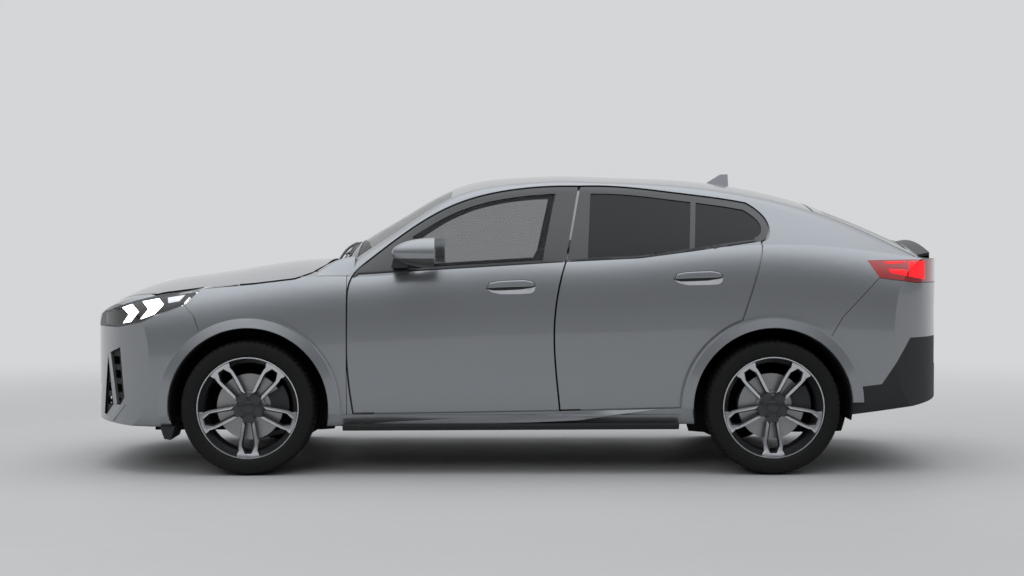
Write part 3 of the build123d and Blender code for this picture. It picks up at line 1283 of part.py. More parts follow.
def build_pieces():
    pieces = {}
    both_sides(pieces, "side_frame", one(make_side_frame().fuse(*make_posts())))
    pieces["roof_panel"] = make_roof()
    pieces["floor_pan"] = make_floor()
    pieces["bulkhead"] = make_bulkhead()
    pieces["front_wings"] = pair(make_wing())
    pieces["front_bumper"] = make_front_bumper()
    pieces["front_grilles"] = make_grilles()
    pieces["headlamps"] = pair(make_headlamp())
    pieces["windscreen"] = make_glass([windscreen_prism(RUNNING_FIT)])
    pieces["front_subframe"] = make_front_subframe()
    pieces["engine"] = make_engine()
    pieces["rear_axle"] = make_rear_axle()
    pieces["rear_bumper"] = make_rear_bumper()
    pieces["rear_diffuser"] = make_diffuser()
    pieces["tail_lamps"] = pair(make_tail_lamp())
    pieces["arch_trims"] = make_arch_trims()
    pieces["sill_trims"] = make_sill_trims()
    pieces["arch_liners"] = make_arch_liners()
    pieces["dashboard"] = make_dashboard()
    pieces["front_seats"] = Compound(children=[make_front_seat(-1), make_front_seat(1)])
    pieces["rear_seat"] = make_rear_seat()
    pieces["steering_wheel"] = make_steering_wheel()
    pieces["bonnet"] = make_bonnet()
    pieces["tailgate"] = make_tailgate()
    pieces["rear_glass"] = make_glass([rear_glass_prism(RUNNING_FIT)])
    pieces["spoiler"] = make_spoiler()
    front_windows = [front_window()]
    rear_windows = [rear_window(), quarter_window()]
    both_sides(pieces, "front_door", make_door(front_door_outline(), FRONT_HINGE_X, front_windows, 0))
    both_sides(pieces, "rear_door", make_door(rear_door_outline(), REAR_HINGE_X, rear_windows, DOOR_ARC))
    both_sides(pieces, "front_door_glass", make_glass([front_window(RUNNING_FIT)]))
    both_sides(pieces, "rear_door_glass", make_glass([rear_window(RUNNING_FIT), quarter_window(RUNNING_FIT)]))
    both_sides(pieces, "mirror", make_mirror())
    both_sides(pieces, "knuckle", make_knuckle())
    for end, axle in (("front", FRONT_AXLE), ("rear", REAR_AXLE)):
        both_sides(pieces, end + "_rim", make_rim(axle))
        both_sides(pieces, end + "_tyre", make_tyre(axle))
        both_sides(pieces, end + "_disc", make_disc(axle))
    return pieces


os.makedirs("parts", exist_ok=True)
for piece_name, piece in build_pieces().items():
    export_step(piece, os.path.join("parts", piece_name + ".step"))
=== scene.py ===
import bmesh
import bpy
import math
from mathutils import Matrix, Vector
from mathutils.bvhtree import BVHTree


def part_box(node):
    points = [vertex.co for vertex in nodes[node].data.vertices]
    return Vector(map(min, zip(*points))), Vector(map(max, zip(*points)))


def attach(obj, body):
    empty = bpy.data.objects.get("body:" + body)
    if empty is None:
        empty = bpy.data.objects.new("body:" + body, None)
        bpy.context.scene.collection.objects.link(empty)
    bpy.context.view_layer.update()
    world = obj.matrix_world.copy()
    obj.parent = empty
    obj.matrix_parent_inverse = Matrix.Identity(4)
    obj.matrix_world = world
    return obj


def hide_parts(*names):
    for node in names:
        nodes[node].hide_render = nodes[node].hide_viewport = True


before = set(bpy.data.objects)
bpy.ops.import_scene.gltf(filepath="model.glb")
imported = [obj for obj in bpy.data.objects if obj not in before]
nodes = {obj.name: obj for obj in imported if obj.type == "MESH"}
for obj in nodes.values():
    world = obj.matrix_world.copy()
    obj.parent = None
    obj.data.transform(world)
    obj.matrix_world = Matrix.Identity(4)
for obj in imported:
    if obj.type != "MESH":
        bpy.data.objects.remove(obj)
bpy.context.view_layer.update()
scene = bpy.context.scene
print("frame loaded,", len(nodes), "nodes")


# Node helpers for the finishes
def newFinish(name):
    finish = bpy.data.materials.new(name)
    finish.use_nodes = True
    return finish, finish.node_tree, finish.node_tree.nodes["Principled BSDF"]


def addNode(tree, kind, inputs=None, **settings):
    node = tree.nodes.new(kind)
    for key, value in settings.items():
        setattr(node, key, value)
    for key, value in (inputs or {}).items():
        node.inputs[key].default_value = value
    return node


def setSockets(shader, look):
    for socket, value in look.items():
        shader.inputs[socket].default_value = value


def objectPlace(tree):
    return addNode(tree, "ShaderNodeTexCoord").outputs["Object"]


def addNoise(tree, place, scale, detail=2.0):
    noise = addNode(tree, "ShaderNodeTexNoise", {"Scale": scale, "Detail": detail})
    tree.links.new(place, noise.inputs["Vector"])
    return noise.outputs["Fac"]


def mixColours(tree, factor, first, second):
    mix = addNode(tree, "ShaderNodeMix", data_type="RGBA")
    for index, value in ((6, first), (7, second)):
        if isinstance(value, tuple):
            mix.inputs[index].default_value = (*value, 1)
        else:
            tree.links.new(value, mix.inputs[index])
    tree.links.new(factor, mix.inputs[0])
    return mix.outputs[2]


def mixValues(tree, factor, first, second):
    ramp = addNode(tree, "ShaderNodeMapRange", {"To Min": first, "To Max": second})
    tree.links.new(factor, ramp.inputs["Value"])
    return ramp.outputs["Result"]


def addBump(tree, shader, height, strength, distance):
    bump = addNode(tree, "ShaderNodeBump", {"Strength": strength, "Distance": distance})
    tree.links.new(height, bump.inputs["Height"])
    tree.links.new(bump.outputs["Normal"], shader.inputs["Normal"])


# Grained finishes: a coarse cloud varies the colour, a fine noise the roughness and the bump
grainLook = {"cloudShare": 12, "cloudDetail": 4.0, "fineDetail": 3.0}


def grainedFinish(name, sockets, dark, light, rough, grain, bump):
    finish, tree, shader = newFinish(name)
    setSockets(shader, sockets)
    place = objectPlace(tree)
    cloud = addNoise(tree, place, grain / grainLook["cloudShare"], grainLook["cloudDetail"])
    fine = addNoise(tree, place, grain, grainLook["fineDetail"])
    tree.links.new(mixColours(tree, cloud, dark, light), shader.inputs["Base Color"])
    tree.links.new(mixValues(tree, fine, *rough), shader.inputs["Roughness"])
    addBump(tree, shader, fine, *bump)
    return finish


# Metallic grey lacquer; doors are satin black above the belt line, mirrors below their split
paintLook = {
    "dark": (0.270, 0.280, 0.295),
    "light": (0.315, 0.326, 0.342),
    "flakeScale": 1400.0,
    "peelScale": 130.0,
    "peelBump": (0.02, 0.0004),
    "sockets": {"Metallic": 0.74, "Roughness": 0.33, "Coat Weight": 0.9, "Coat Roughness": 0.04},
    "frameColour": (0.018, 0.019, 0.021),
    "frameRoughness": 0.34,
    "mirrorSplit": 1.112,
    "beltStart": -0.90,
    "beltEnd": 1.40,
    "beltLow": 1.00,
    "beltHigh": 1.25,
    "belt": [(-0.90, 1.020), (-0.552, 1.043), (0.205, 1.089), (0.355, 1.097), (0.622, 1.110),
             (0.880, 1.144), (1.253, 1.197), (1.40, 1.222)],
}


# One above the belt line, which is a curve along the doors
def beltMask(tree, place):
    look = paintLook
    parts = addNode(tree, "ShaderNodeSeparateXYZ")
    tree.links.new(place, parts.inputs[0])
    along = addNode(tree, "ShaderNodeMapRange", {"From Min": look["beltStart"], "From Max": look["beltEnd"]})
    tree.links.new(parts.outputs["X"], along.inputs["Value"])
    curve = addNode(tree, "ShaderNodeFloatCurve")
    points = curve.mapping.curves[0].points
    span = look["beltEnd"] - look["beltStart"]
    rise = look["beltHigh"] - look["beltLow"]
    spots = [((x - look["beltStart"]) / span, (z - look["beltLow"]) / rise) for x, z in look["belt"]]
    points[0].location = spots[0]
    points[1].location = spots[-1]
    for spot in spots[1:-1]:
        points.new(*spot)
    for point in points:
        point.handle_type = "VECTOR"
    curve.mapping.update()
    tree.links.new(along.outputs["Result"], curve.inputs["Value"])
    level = addNode(tree, "ShaderNodeMapRange", {"To Min": look["beltLow"], "To Max": look["beltHigh"]})
    tree.links.new(curve.outputs["Value"], level.inputs["Value"])
    above = addNode(tree, "ShaderNodeMath", operation="GREATER_THAN")
    tree.links.new(parts.outputs["Z"], above.inputs[0])
    tree.links.new(level.outputs["Result"], above.inputs[1])
    return above.outputs[0]


# One where the surface lies below a level on one axis
def lowMask(tree, place, level, axis="Z"):
    parts = addNode(tree, "ShaderNodeSeparateXYZ")
    tree.links.new(place, parts.inputs[0])
    below = addNode(tree, "ShaderNodeMath", operation="LESS_THAN")
    below.inputs[1].default_value = level
    tree.links.new(parts.outputs[axis], below.inputs[0])
    return below.outputs[0]


def paintFinish(name, part):
    look = paintLook
    finish, tree, shader = newFinish(name)
    setSockets(shader, look["sockets"])
    place = objectPlace(tree)
    flakes = addNode(tree, "ShaderNodeTexVoronoi", {"Scale": look["flakeScale"]})
    tree.links.new(place, flakes.inputs["Vector"])
    grey = addNode(tree, "ShaderNodeSeparateColor")
    tree.links.new(flakes.outputs["Color"], grey.inputs[0])
    colour = mixColours(tree, grey.outputs[0], look["dark"], look["light"])
    if part != "panel":
        mask = beltMask(tree, place) if part == "door" else lowMask(tree, place, look["mirrorSplit"])
        colour = mixColours(tree, mask, colour, look["frameColour"])
        tree.links.new(mixValues(tree, mask, look["sockets"]["Metallic"], 0.0), shader.inputs["Metallic"])
        tree.links.new(mixValues(tree, mask, look["sockets"]["Roughness"], look["frameRoughness"]),
                       shader.inputs["Roughness"])
    tree.links.new(colour, shader.inputs["Base Color"])
    addBump(tree, shader, addNoise(tree, place, look["peelScale"]), *look["peelBump"])
    return finish


# Panes: the front ones let the cabin show, the rear ones are tinted, the windscreen's foot is black
paneLook = {
    "clear": {"tint": (0.020, 0.026, 0.026), "Alpha": 0.30},
    "dark": {"tint": (0.006, 0.007, 0.008), "Alpha": 0.86},
    "lens": {"tint": (0.30, 0.32, 0.34), "Alpha": 0.24},
    "roughness": 0.02,
    "smear": 0.05,
    "smearScale": 6.0,
    "smearDetail": 3.0,
    "smearTint": 1.15,
    "ior": 1.45,
    "fritEdge": -0.845,
}


def paneFinish(name, kind, frit=False):
    look = paneLook
    tint, alpha = look[kind]["tint"], look[kind]["Alpha"]
    finish, tree, shader = newFinish(name)
    setSockets(shader, {"IOR": look["ior"], "Alpha": alpha})
    place = objectPlace(tree)
    smear = addNoise(tree, place, look["smearScale"], look["smearDetail"])
    if frit:
        dark = lowMask(tree, place, look["fritEdge"], "X")
        tree.links.new(mixValues(tree, dark, alpha, 1.0), shader.inputs["Alpha"])
    smeared = tuple(look["smearTint"] * value for value in tint)
    tree.links.new(mixColours(tree, smear, tint, smeared), shader.inputs["Base Color"])
    tree.links.new(mixValues(tree, smear, look["roughness"], look["smear"]), shader.inputs["Roughness"])
    return finish


# Lit strips of the lamps, a little uneven along their length
glowLook = {
    "white": {"colour": (1.0, 0.98, 0.95), "strength": 3.2},
    "red": {"colour": (1.0, 0.006, 0.012), "strength": 0.95},
    "ripple": 180.0,
    "uneven": 0.15,
}


def glowFinish(name, kind):
    look = glowLook[kind]
    finish, tree, shader = newFinish(name)
    ripple = addNoise(tree, objectPlace(tree), glowLook["ripple"], 1.0)
    for socket in ("Base Color", "Emission Color"):
        shader.inputs[socket].default_value = (*look["colour"], 1)
    low, high = ((1 + sign * glowLook["uneven"]) * look["strength"] for sign in (-1, 1))
    tree.links.new(mixValues(tree, ripple, low, high), shader.inputs["Emission Strength"])
    return finish


paint = paintFinish("metallicGreyPaint", "panel")
doorPaint = paintFinish("metallicGreyDoorPaint", "door")
mirrorPaint = paintFinish("metallicGreyMirrorPaint", "mirror")
clearGlass = paneFinish("clearGlass", "clear")
screenGlass = paneFinish("windscreenGlass", "clear", True)
darkGlass = paneFinish("privacyGlass", "dark")
lampLens = paneFinish("clearLens", "lens")
whiteGlow = glowFinish("whiteLampGlow", "white")
redGlow = glowFinish("redLampGlow", "red")
pianoBlack = grainedFinish("glossBlack", {"Coat Weight": 0.6, "Coat Roughness": 0.05},
                           dark=(0.010, 0.010, 0.011), light=(0.014, 0.014, 0.015),
                           rough=(0.18, 0.26), grain=60.0, bump=(0.02, 0.0003))
satinBlack = grainedFinish("satinBlackTrim", {"Specular IOR Level": 0.5},
                           dark=(0.016, 0.017, 0.018), light=(0.024, 0.025, 0.027),
                           rough=(0.36, 0.46), grain=400.0, bump=(0.08, 0.0004))
grainBlack = grainedFinish("grainedBlackPlastic", {"Specular IOR Level": 0.4},
                           dark=(0.020, 0.020, 0.021), light=(0.030, 0.030, 0.031),
                           rough=(0.55, 0.72), grain=700.0, bump=(0.25, 0.0006))
linerFelt = grainedFinish("archLinerFelt", {"Specular IOR Level": 0.2},
                          dark=(0.008, 0.008, 0.008), light=(0.016, 0.016, 0.016),
                          rough=(0.85, 0.98), grain=900.0, bump=(0.5, 0.001))
underSteel = grainedFinish("coatedSteel", {"Metallic": 0.4},
                           dark=(0.035, 0.036, 0.038), light=(0.055, 0.056, 0.060),
                           rough=(0.45, 0.62), grain=180.0, bump=(0.10, 0.0005))
castMetal = grainedFinish("castAluminium", {"Metallic": 0.85},
                          dark=(0.30, 0.30, 0.30), light=(0.42, 0.42, 0.43),
                          rough=(0.38, 0.55), grain=320.0, bump=(0.2, 0.0006))
brakeSteel = grainedFinish("turnedBrakeSteel", {"Metallic": 0.9},
                           dark=(0.34, 0.34, 0.34), light=(0.44, 0.44, 0.45),
                           rough=(0.28, 0.40), grain=220.0, bump=(0.06, 0.0003))
machinedAlloy = grainedFinish("machinedAlloy", {"Metallic": 0.95, "Coat Weight": 0.4},
                              dark=(0.58, 0.59, 0.61), light=(0.70, 0.71, 0.73),
                              rough=(0.20, 0.28), grain=500.0, bump=(0.03, 0.0002))
darkAlloy = grainedFinish("darkGreyAlloy", {"Metallic": 0.5, "Coat Weight": 0.5},
                          dark=(0.030, 0.031, 0.034), light=(0.045, 0.046, 0.050),
                          rough=(0.28, 0.36), grain=300.0, bump=(0.03, 0.0002))
tyreRubber = grainedFinish("tyreRubber", {"Specular IOR Level": 0.22},
                           dark=(0.007, 0.007, 0.007), light=(0.012, 0.012, 0.012),
                           rough=(0.66, 0.82), grain=260.0, bump=(0.15, 0.0005))
cabinPlastic = grainedFinish("softDashPlastic", {"Specular IOR Level": 0.35},
                             dark=(0.022, 0.022, 0.024), light=(0.032, 0.032, 0.034),
                             rough=(0.55, 0.70), grain=900.0, bump=(0.3, 0.0005))
seatHide = grainedFinish("blackSeatLeather", {"Specular IOR Level": 0.45, "Sheen Weight": 0.15},
                         dark=(0.022, 0.022, 0.024), light=(0.036, 0.035, 0.036),
                         rough=(0.42, 0.58), grain=420.0, bump=(0.35, 0.0007))
redLens = grainedFinish("redLens", {"Coat Weight": 1.0, "Coat Roughness": 0.02},
                        dark=(0.30, 0.006, 0.010), light=(0.42, 0.010, 0.014),
                        rough=(0.10, 0.16), grain=90.0, bump=(0.02, 0.0003))
brightTrim = grainedFinish("satinBrightTrim", {"Metallic": 1.0},
                           dark=(0.62, 0.63, 0.65), light=(0.70, 0.71, 0.72),
                           rough=(0.16, 0.22), grain=200.0, bump=(0.02, 0.0002))

nodeFinishes = {
    paint: ["side_frame_left", "side_frame_right", "roof_panel", "front_wings", "front_bumper", "rear_bumper",
            "bonnet", "tailgate", "arch_trims", "sill_trims"],
    mirrorPaint: ["mirror_left", "mirror_right"],
    doorPaint: ["front_door_left", "front_door_right", "rear_door_left", "rear_door_right"],
    screenGlass: ["windscreen"],
    clearGlass: ["front_door_glass_left", "front_door_glass_right"],
    darkGlass: ["rear_glass", "rear_door_glass_left", "rear_door_glass_right"],
    lampLens: ["headlamps"],
    redLens: ["tail_lamps"],
    satinBlack: ["spoiler"],
    grainBlack: ["front_grilles", "rear_diffuser", "floor_pan", "bulkhead"],
    linerFelt: ["arch_liners"],
    underSteel: ["front_subframe", "rear_axle", "knuckle_left", "knuckle_right"],
    castMetal: ["engine"],
    brakeSteel: ["front_disc_left", "front_disc_right", "rear_disc_left", "rear_disc_right"],
    darkAlloy: ["front_rim_left", "front_rim_right", "rear_rim_left", "rear_rim_right"],
    tyreRubber: ["front_tyre_left", "front_tyre_right", "rear_tyre_left", "rear_tyre_right"],
    cabinPlastic: ["dashboard", "steering_wheel"],
    seatHide: ["front_seats", "rear_seat"],
}
for finish, names in nodeFinishes.items():
    for name in names:
        mesh = nodes[name].data
        mesh.materials.clear()
        mesh.materials.append(finish)
print("finishes on", sum(len(names) for names in nodeFinishes.values()), "nodes")


# Mesh helpers: every piece is a named mesh that rides on one body
def addPiece(name, mesh, body, finishes, sharp=35.0):
    piece = bpy.data.objects.new(name, mesh)
    scene.collection.objects.link(piece)
    for finish in finishes:
        mesh.materials.append(finish)
    mesh.shade_smooth()
    mesh.set_sharp_from_angle(angle=math.radians(sharp))
    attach(piece, body)
    return piece


def meshFromRows(name, rows, closedAround=False, closedAlong=False):
    count = len(rows[0])
    points = [point for row in rows for point in row]
    faces = []
    for i in range(len(rows) if closedAlong else len(rows) - 1):
        for j in range(count if closedAround else count - 1):
            here, there = i * count, (i + 1) % len(rows) * count
            beside = (j + 1) % count
            faces.append((here + j, here + beside, there + beside, there + j))
    mesh = bpy.data.meshes.new(name)
    mesh.from_pydata(points, [], faces)
    return mesh


def tidyMesh(mesh, merge=0.00005):
    work = bmesh.new()
    work.from_mesh(mesh)
    bmesh.ops.remove_doubles(work, verts=work.verts, dist=merge)
    bmesh.ops.recalc_face_normals(work, faces=work.faces)
    work.to_mesh(mesh)
    work.free()
    return mesh


def closeEnds(mesh):
    work = bmesh.new()
    work.from_mesh(mesh)
    bmesh.ops.holes_fill(work, edges=[edge for edge in work.edges if edge.is_boundary])
    bmesh.ops.recalc_face_normals(work, faces=work.faces)
    work.to_mesh(mesh)
    work.free()
    return mesh


def joinMeshes(name, meshes):
    work = bmesh.new()
    for mesh in meshes:
        work.from_mesh(mesh)
    joined = bpy.data.meshes.new(name)
    work.to_mesh(joined)
    work.free()
    return joined


sideSign = {"left": -1.0, "right": 1.0}


# Wheels: a turned barrel, five double spokes with machined faces, bolts, a bare cap and a treaded tyre.
# Sizes are in mm about the hub, profiles as (out, radius), spokes and hub as (radius, across or out)
rimLook = {
    "steps": 96,
    "barrel": [(-112.5, 250), (-112.5, 261), (-104, 262), (-102, 251), (-62, 250), (-50, 235), (58, 235),
               (70, 250), (102, 251), (104, 262), (111, 262.5), (113, 260), (112.5, 255.5), (108, 253),
               (97, 246), (82, 238), (64, 228), (20, 225), (-46, 226), (-62, 241), (-101, 242)],
    "lipFrom": 10,
    "lipTo": 13,
    "spokes": 5,
    "spokeDepth": 31.0,
    "face": 78.5,
    "dish": 26.5,
    "dishFrom": 66.0,
    "dishSpan": 181.0,
    "firstSpoke": -90.0,
    "outside": [(44, 0), (44, 29), (66, 30), (100, 36), (140, 43), (176, 48), (204, 50), (220, 48.5),
                (234, 56), (253, 62), (253, 0)],
    "slot": [(80, 0), (80, 11), (92, 13), (112, 16), (140, 20), (172, 25.5), (196, 28), (212, 21), (224, 14),
             (230, 11), (230, 0)],
    "slotMiddle": 156.0,
    "slotEnd": 20.0,
    "slotEndShare": 0.8,
    "chamfer": 5.0,
    "chamferDrop": 9.0,
    "bevel": 1.4,
    "bevelSteps": 2,
    "bevelShape": 0.6,
    "brightFrom": 76.0,
    "hub": [(0, 80.4), (16, 80.2), (27, 79.0), (31, 77.0), (31.2, 73.0), (34, 73.0), (35, 76.5), (58, 76.0),
            (66, 71.0), (67, 40.0), (0, 40.0)],
    "boltCircle": 50.0,
    "boltSides": 6,
    "bolt": [(0, 76.5), (6.5, 76.5), (7.0, 80.0), (10.0, 80.6), (11.5, 79.0), (11.5, 60.0)],
}
tyreLook = {
    "pitches": 66,
    "groove": 0.22,
    "grooveRamp": 0.03,
    "grooveDepth": 5.5,
    "blockMiddle": 0.6,
    "ribHalf": 20,
    "treadFrom": 333,
    "slant": 0.35,
    "slantMiddle": 60,
    "profile": [(102, 258), (110, 264), (117, 270), (119.5, 276), (121.5, 290), (122.5, 303), (121.8, 314),
                (120.2, 323), (118.5, 329)],
    "shoulder": [(114, 334.5), (108.5, 338.2), (100, 340.8)],
    "tread": [(92, 342.2), (84, 343.2), (83.9, 336.6), (75, 336.8), (74.9, 343.9), (60, 344.9), (33, 345.6),
              (32.9, 338.8), (22, 338.9), (21.9, 345.8), (8, 346.0)],
}


def wheelPlace(corner, end):
    low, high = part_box(f"{end}_rim_{corner}")
    return (low.x + high.x) / 2, (low.y + high.y) / 2, (low.z + high.z) / 2


def onWheel(place, side, across, up, out):
    return (place[0] + across / 1000, place[1] + side * out / 1000, place[2] + up / 1000)


def turnedRows(place, side, profile, steps):
    rows = []
    for step in range(steps):
        angle = 2 * math.pi * step / steps
        rows.append([onWheel(place, side, radius * math.cos(angle), radius * math.sin(angle), out)
                     for out, radius in profile])
    return rows


def makeBarrel(name, place, side):
    look = rimLook
    mesh = meshFromRows(name, turnedRows(place, side, look["barrel"], look["steps"]), True, True)
    count = len(look["barrel"])
    for index, face in enumerate(mesh.polygons):
        face.material_index = 1 if look["lipFrom"] <= index % count < look["lipTo"] else 0
    return mesh


def spokeFace(radius):
    look = rimLook
    share = max(0.0, (radius - look["dishFrom"]) / look["dishSpan"])
    return look["face"] + look["dish"] * share * share


def fullLoop(half):
    return half + [(radius, -across) for radius, across in reversed(half[1:-1])]


def widerSlot(half, amount):
    look = rimLook
    wide = []
    for radius, across in half:
        away = 1 if radius > look["slotMiddle"] else -1
        share = look["slotEndShare"] if across < look["slotEnd"] else 0.0
        wide.append((radius + amount * away * share, across + (amount if across else 0.0)))
    return wide


def makeSpoke(name, place, side, turn):
    look = rimLook
    outer = fullLoop(look["outside"])
    wide = fullLoop(widerSlot(look["slot"], look["chamfer"]))
    slot = fullLoop(look["slot"])
    back = look["spokeDepth"]
    rings = [(outer, back), (outer, 0.0), (wide, 0.0), (slot, look["chamferDrop"]), (slot, back)]
    cos, sin = math.cos(turn), math.sin(turn)
    rows = []
    for loop, drop in rings:
        rows.append([onWheel(place, side, r * cos - w * sin, r * sin + w * cos, spokeFace(r) - drop)
                     for r, w in loop])
    mesh = meshFromRows(name, rows, True, True)
    count = len(outer)
    middle = Vector(onWheel(place, side, 0, 0, 0))
    for index, face in enumerate(mesh.polygons):
        reach = math.hypot(face.center.x - middle.x, face.center.z - middle.z)
        face.material_index = 1 if index // count == 1 and reach > look["brightFrom"] / 1000 else 0
    work = bmesh.new()
    work.from_mesh(mesh)
    bmesh.ops.recalc_face_normals(work, faces=work.faces)
    bright = [edge for edge in work.edges if sum(face.material_index for face in edge.link_faces) == 1]
    bmesh.ops.bevel(work, geom=bright, offset=look["bevel"] / 1000, segments=look["bevelSteps"],
                    profile=look["bevelShape"], affect="EDGES", clamp_overlap=True, material=0)
    work.to_mesh(mesh)
    work.free()
    return mesh


def makeHub(name, place, side):
    look = rimLook
    profile = [(out, radius) for radius, out in look["hub"]]
    meshes = [meshFromRows(name, turnedRows(place, side, profile, look["steps"]), False, True)]
    bolt = [(out, radius) for radius, out in look["bolt"]]
    for count in range(look["spokes"]):
        turn = math.radians(look["firstSpoke"] + (count + 0.5) * 360 / look["spokes"])
        across, up = look["boltCircle"] * math.cos(turn), look["boltCircle"] * math.sin(turn)
        spot = onWheel(place, side, across, up, 0)
        meshes.append(meshFromRows("bolt", turnedRows(spot, side, bolt, look["boltSides"]), False, True))
    return joinMeshes(name, meshes)


def makeRim(corner, end):
    place = wheelPlace(corner, end)
    side = sideSign[corner]
    meshes = [makeBarrel("barrel", place, side), makeHub("hub", place, side)]
    for count in range(rimLook["spokes"]):
        turn = math.radians(rimLook["firstSpoke"] + count * 360 / rimLook["spokes"])
        meshes.append(makeSpoke("spoke", place, side, turn))
    mesh = tidyMesh(joinMeshes(f"{end}AlloyRim{corner.title()}", meshes))
    rim = addPiece(mesh.name, mesh, f"wheel_{end}_{corner}", [darkAlloy, machinedAlloy], sharp=28.0)
    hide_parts(f"{end}_rim_{corner}")


# Tread blocks: every pitch has a narrow cross groove that runs out over the shoulder
def makeTyre(corner, end):
    look = tyreLook
    place = wheelPlace(corner, end)
    side = sideSign[corner]
    wall = look["profile"]
    outer = wall + look["shoulder"] + look["tread"]
    inner = [(-out, radius) for out, radius in reversed(outer)]
    profile = outer + inner
    cut = range(len(wall), len(profile) - len(wall))
    groove, ramp = look["groove"], look["grooveRamp"]
    stations = [(0.0, 0.0), (ramp, look["grooveDepth"]), (groove - ramp, look["grooveDepth"]), (groove, 0.0),
                (look["blockMiddle"], 0.0)]
    rows = []
    for pitch in range(look["pitches"]):
        for share, depth in stations:
            row = []
            for index, (out, radius) in enumerate(profile):
                reach, slant = radius, 0.0
                if index in cut:
                    slant = look["slant"] * (abs(out) - look["slantMiddle"]) / look["slantMiddle"]
                    if abs(out) > look["ribHalf"] and radius > look["treadFrom"]:
                        reach -= depth
                angle = 2 * math.pi * (pitch + share + slant) / look["pitches"]
                row.append(onWheel(place, side, reach * math.cos(angle), reach * math.sin(angle), out))
            rows.append(row)
    mesh = meshFromRows(f"{end}TreadedTyre{corner.title()}", rows, True, True)
    tyre = addPiece(mesh.name, tidyMesh(mesh), f"wheel_{end}_{corner}", [tyreRubber], sharp=32.0)
    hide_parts(f"{end}_tyre_{corner}")


for corner in ("left", "right"):
    for end in ("front", "rear"):
        makeRim(corner, end)
        makeTyre(corner, end)
print("wheels made")


# Trim that lies on a panel: a grid between an upper and a lower line is cast onto the panel's skin
castLook = {"side": 1.4, "sideReach": 0.8, "sideNear": 0.85, "top": 2.0, "topNear": 1.0, "sunk": 0.0015}


def skinOf(*names):
    points, faces = [], []
    for name in names:
        start = len(points)
        mesh = nodes[name].data
        points += [vertex.co.copy() for vertex in mesh.vertices]
        faces += [[start + index for index in polygon.vertices] for polygon in mesh.polygons]
    return BVHTree.FromPolygons(points, faces)


def alongLine(line, share):
    lengths = [math.dist(a, b) for a, b in zip(line, line[1:])]
    goal = share * sum(lengths)
    for (a, b), length in zip(zip(line, line[1:]), lengths):
        if goal <= length or (a, b) == (line[-2], line[-1]):
            part = min(1.0, goal / length)
            return a[0] + (b[0] - a[0]) * part, a[1] + (b[1] - a[1]) * part
        goal -= length
    return line[-1]


def castSide(skin, side, x, z):
    look = castLook
    start = Vector((x, side * look["side"], z))
    hit, normal = skin.ray_cast(start, Vector((0, -side, 0)), look["sideReach"])[:2]
    if hit is None:
        hit, normal = skin.find_nearest(Vector((x, side * look["sideNear"], z)))[:2]
    return hit, normal if normal.y * side > 0 else -normal


def castDown(skin, x, y):
    look = castLook
    start = Vector((x, y, look["top"]))
    hit, normal = skin.ray_cast(start, Vector((0, 0, -1)), look["top"])[:2]
    if hit is None:
        hit, normal = skin.find_nearest(Vector((x, y, look["topNear"])))[:2]
    return hit, normal if normal.z > 0 else -normal


# lift is the height above the skin at the middle, edge the height at the border
def skinPatch(name, upper, lower, grid, skin, side, lift, edge, tilt=0.0):
    columns, rowsAcross = grid
    tops, backs = [], []
    for i in range(columns + 1):
        a, b = alongLine(upper, i / columns), alongLine(lower, i / columns)
        topRow, backRow = [], []
        for j in range(rowsAcross + 1):
            v = j / rowsAcross
            hit, normal = castSide(skin, side, a[0] + (b[0] - a[0]) * v, a[1] + (b[1] - a[1]) * v)
            border = i in (0, columns) or j in (0, rowsAcross)
            height = edge if border else lift + tilt * (0.5 - v)
            topRow.append(hit + normal * height)
            backRow.append(hit - normal * castLook["sunk"])
        tops.append(topRow)
        backs.append(backRow)
    mesh = bpy.data.meshes.new(name)
    work = bmesh.new()
    top, back = ([[work.verts.new(point) for point in row] for row in points] for points in (tops, backs))
    for i in range(columns):
        for j in range(rowsAcross):
            work.faces.new((top[i][j], top[i + 1][j], top[i + 1][j + 1], top[i][j + 1]))
            work.faces.new((back[i][j], back[i][j + 1], back[i + 1][j + 1], back[i + 1][j]))
    for i in range(columns):
        work.faces.new((top[i][0], back[i][0], back[i + 1][0], top[i + 1][0]))
        work.faces.new((top[i][-1], top[i + 1][-1], back[i + 1][-1], back[i][-1]))
    for j in range(rowsAcross):
        work.faces.new((top[0][j], top[0][j + 1], back[0][j + 1], back[0][j]))
        work.faces.new((top[-1][j], back[-1][j], back[-1][j + 1], top[-1][j + 1]))
    bmesh.ops.recalc_face_normals(work, faces=work.faces)
    work.to_mesh(mesh)
    work.free()
    return mesh


# Weather strips along the belt of each door
stripLook = {
    "front": (-0.862, 0.228),
    "rear": (0.262, 1.228),
    "height": 0.016,
    "grid": (60, 4),
    "lift": 0.0035,
    "edge": 0.0004,
}


def beltAt(x):
    for (x0, z0), (x1, z1) in zip(paintLook["belt"], paintLook["belt"][1:]):
        if x <= x1:
            return z0 + (z1 - z0) * (x - x0) / (x1 - x0)
    return paintLook["belt"][-1][1]


def makeStrip(corner, end):
    look = stripLook
    start, stop = look[end]
    columns = look["grid"][0]
    spots = [start + (stop - start) * step / columns for step in range(columns + 1)]
    low = [(x, beltAt(x)) for x in spots]
    high = [(x, z + look["height"]) for x, z in low]
    name = f"{end}WeatherStrip{corner.title()}"
    skin = skinOf(f"{end}_door_{corner}", f"{end}_door_glass_{corner}")
    mesh = skinPatch(name, high, low, look["grid"], skin, sideSign[corner], look["lift"], look["edge"])
    addPiece(name, mesh, f"door_{end}_{corner}", [satinBlack], sharp=40.0)


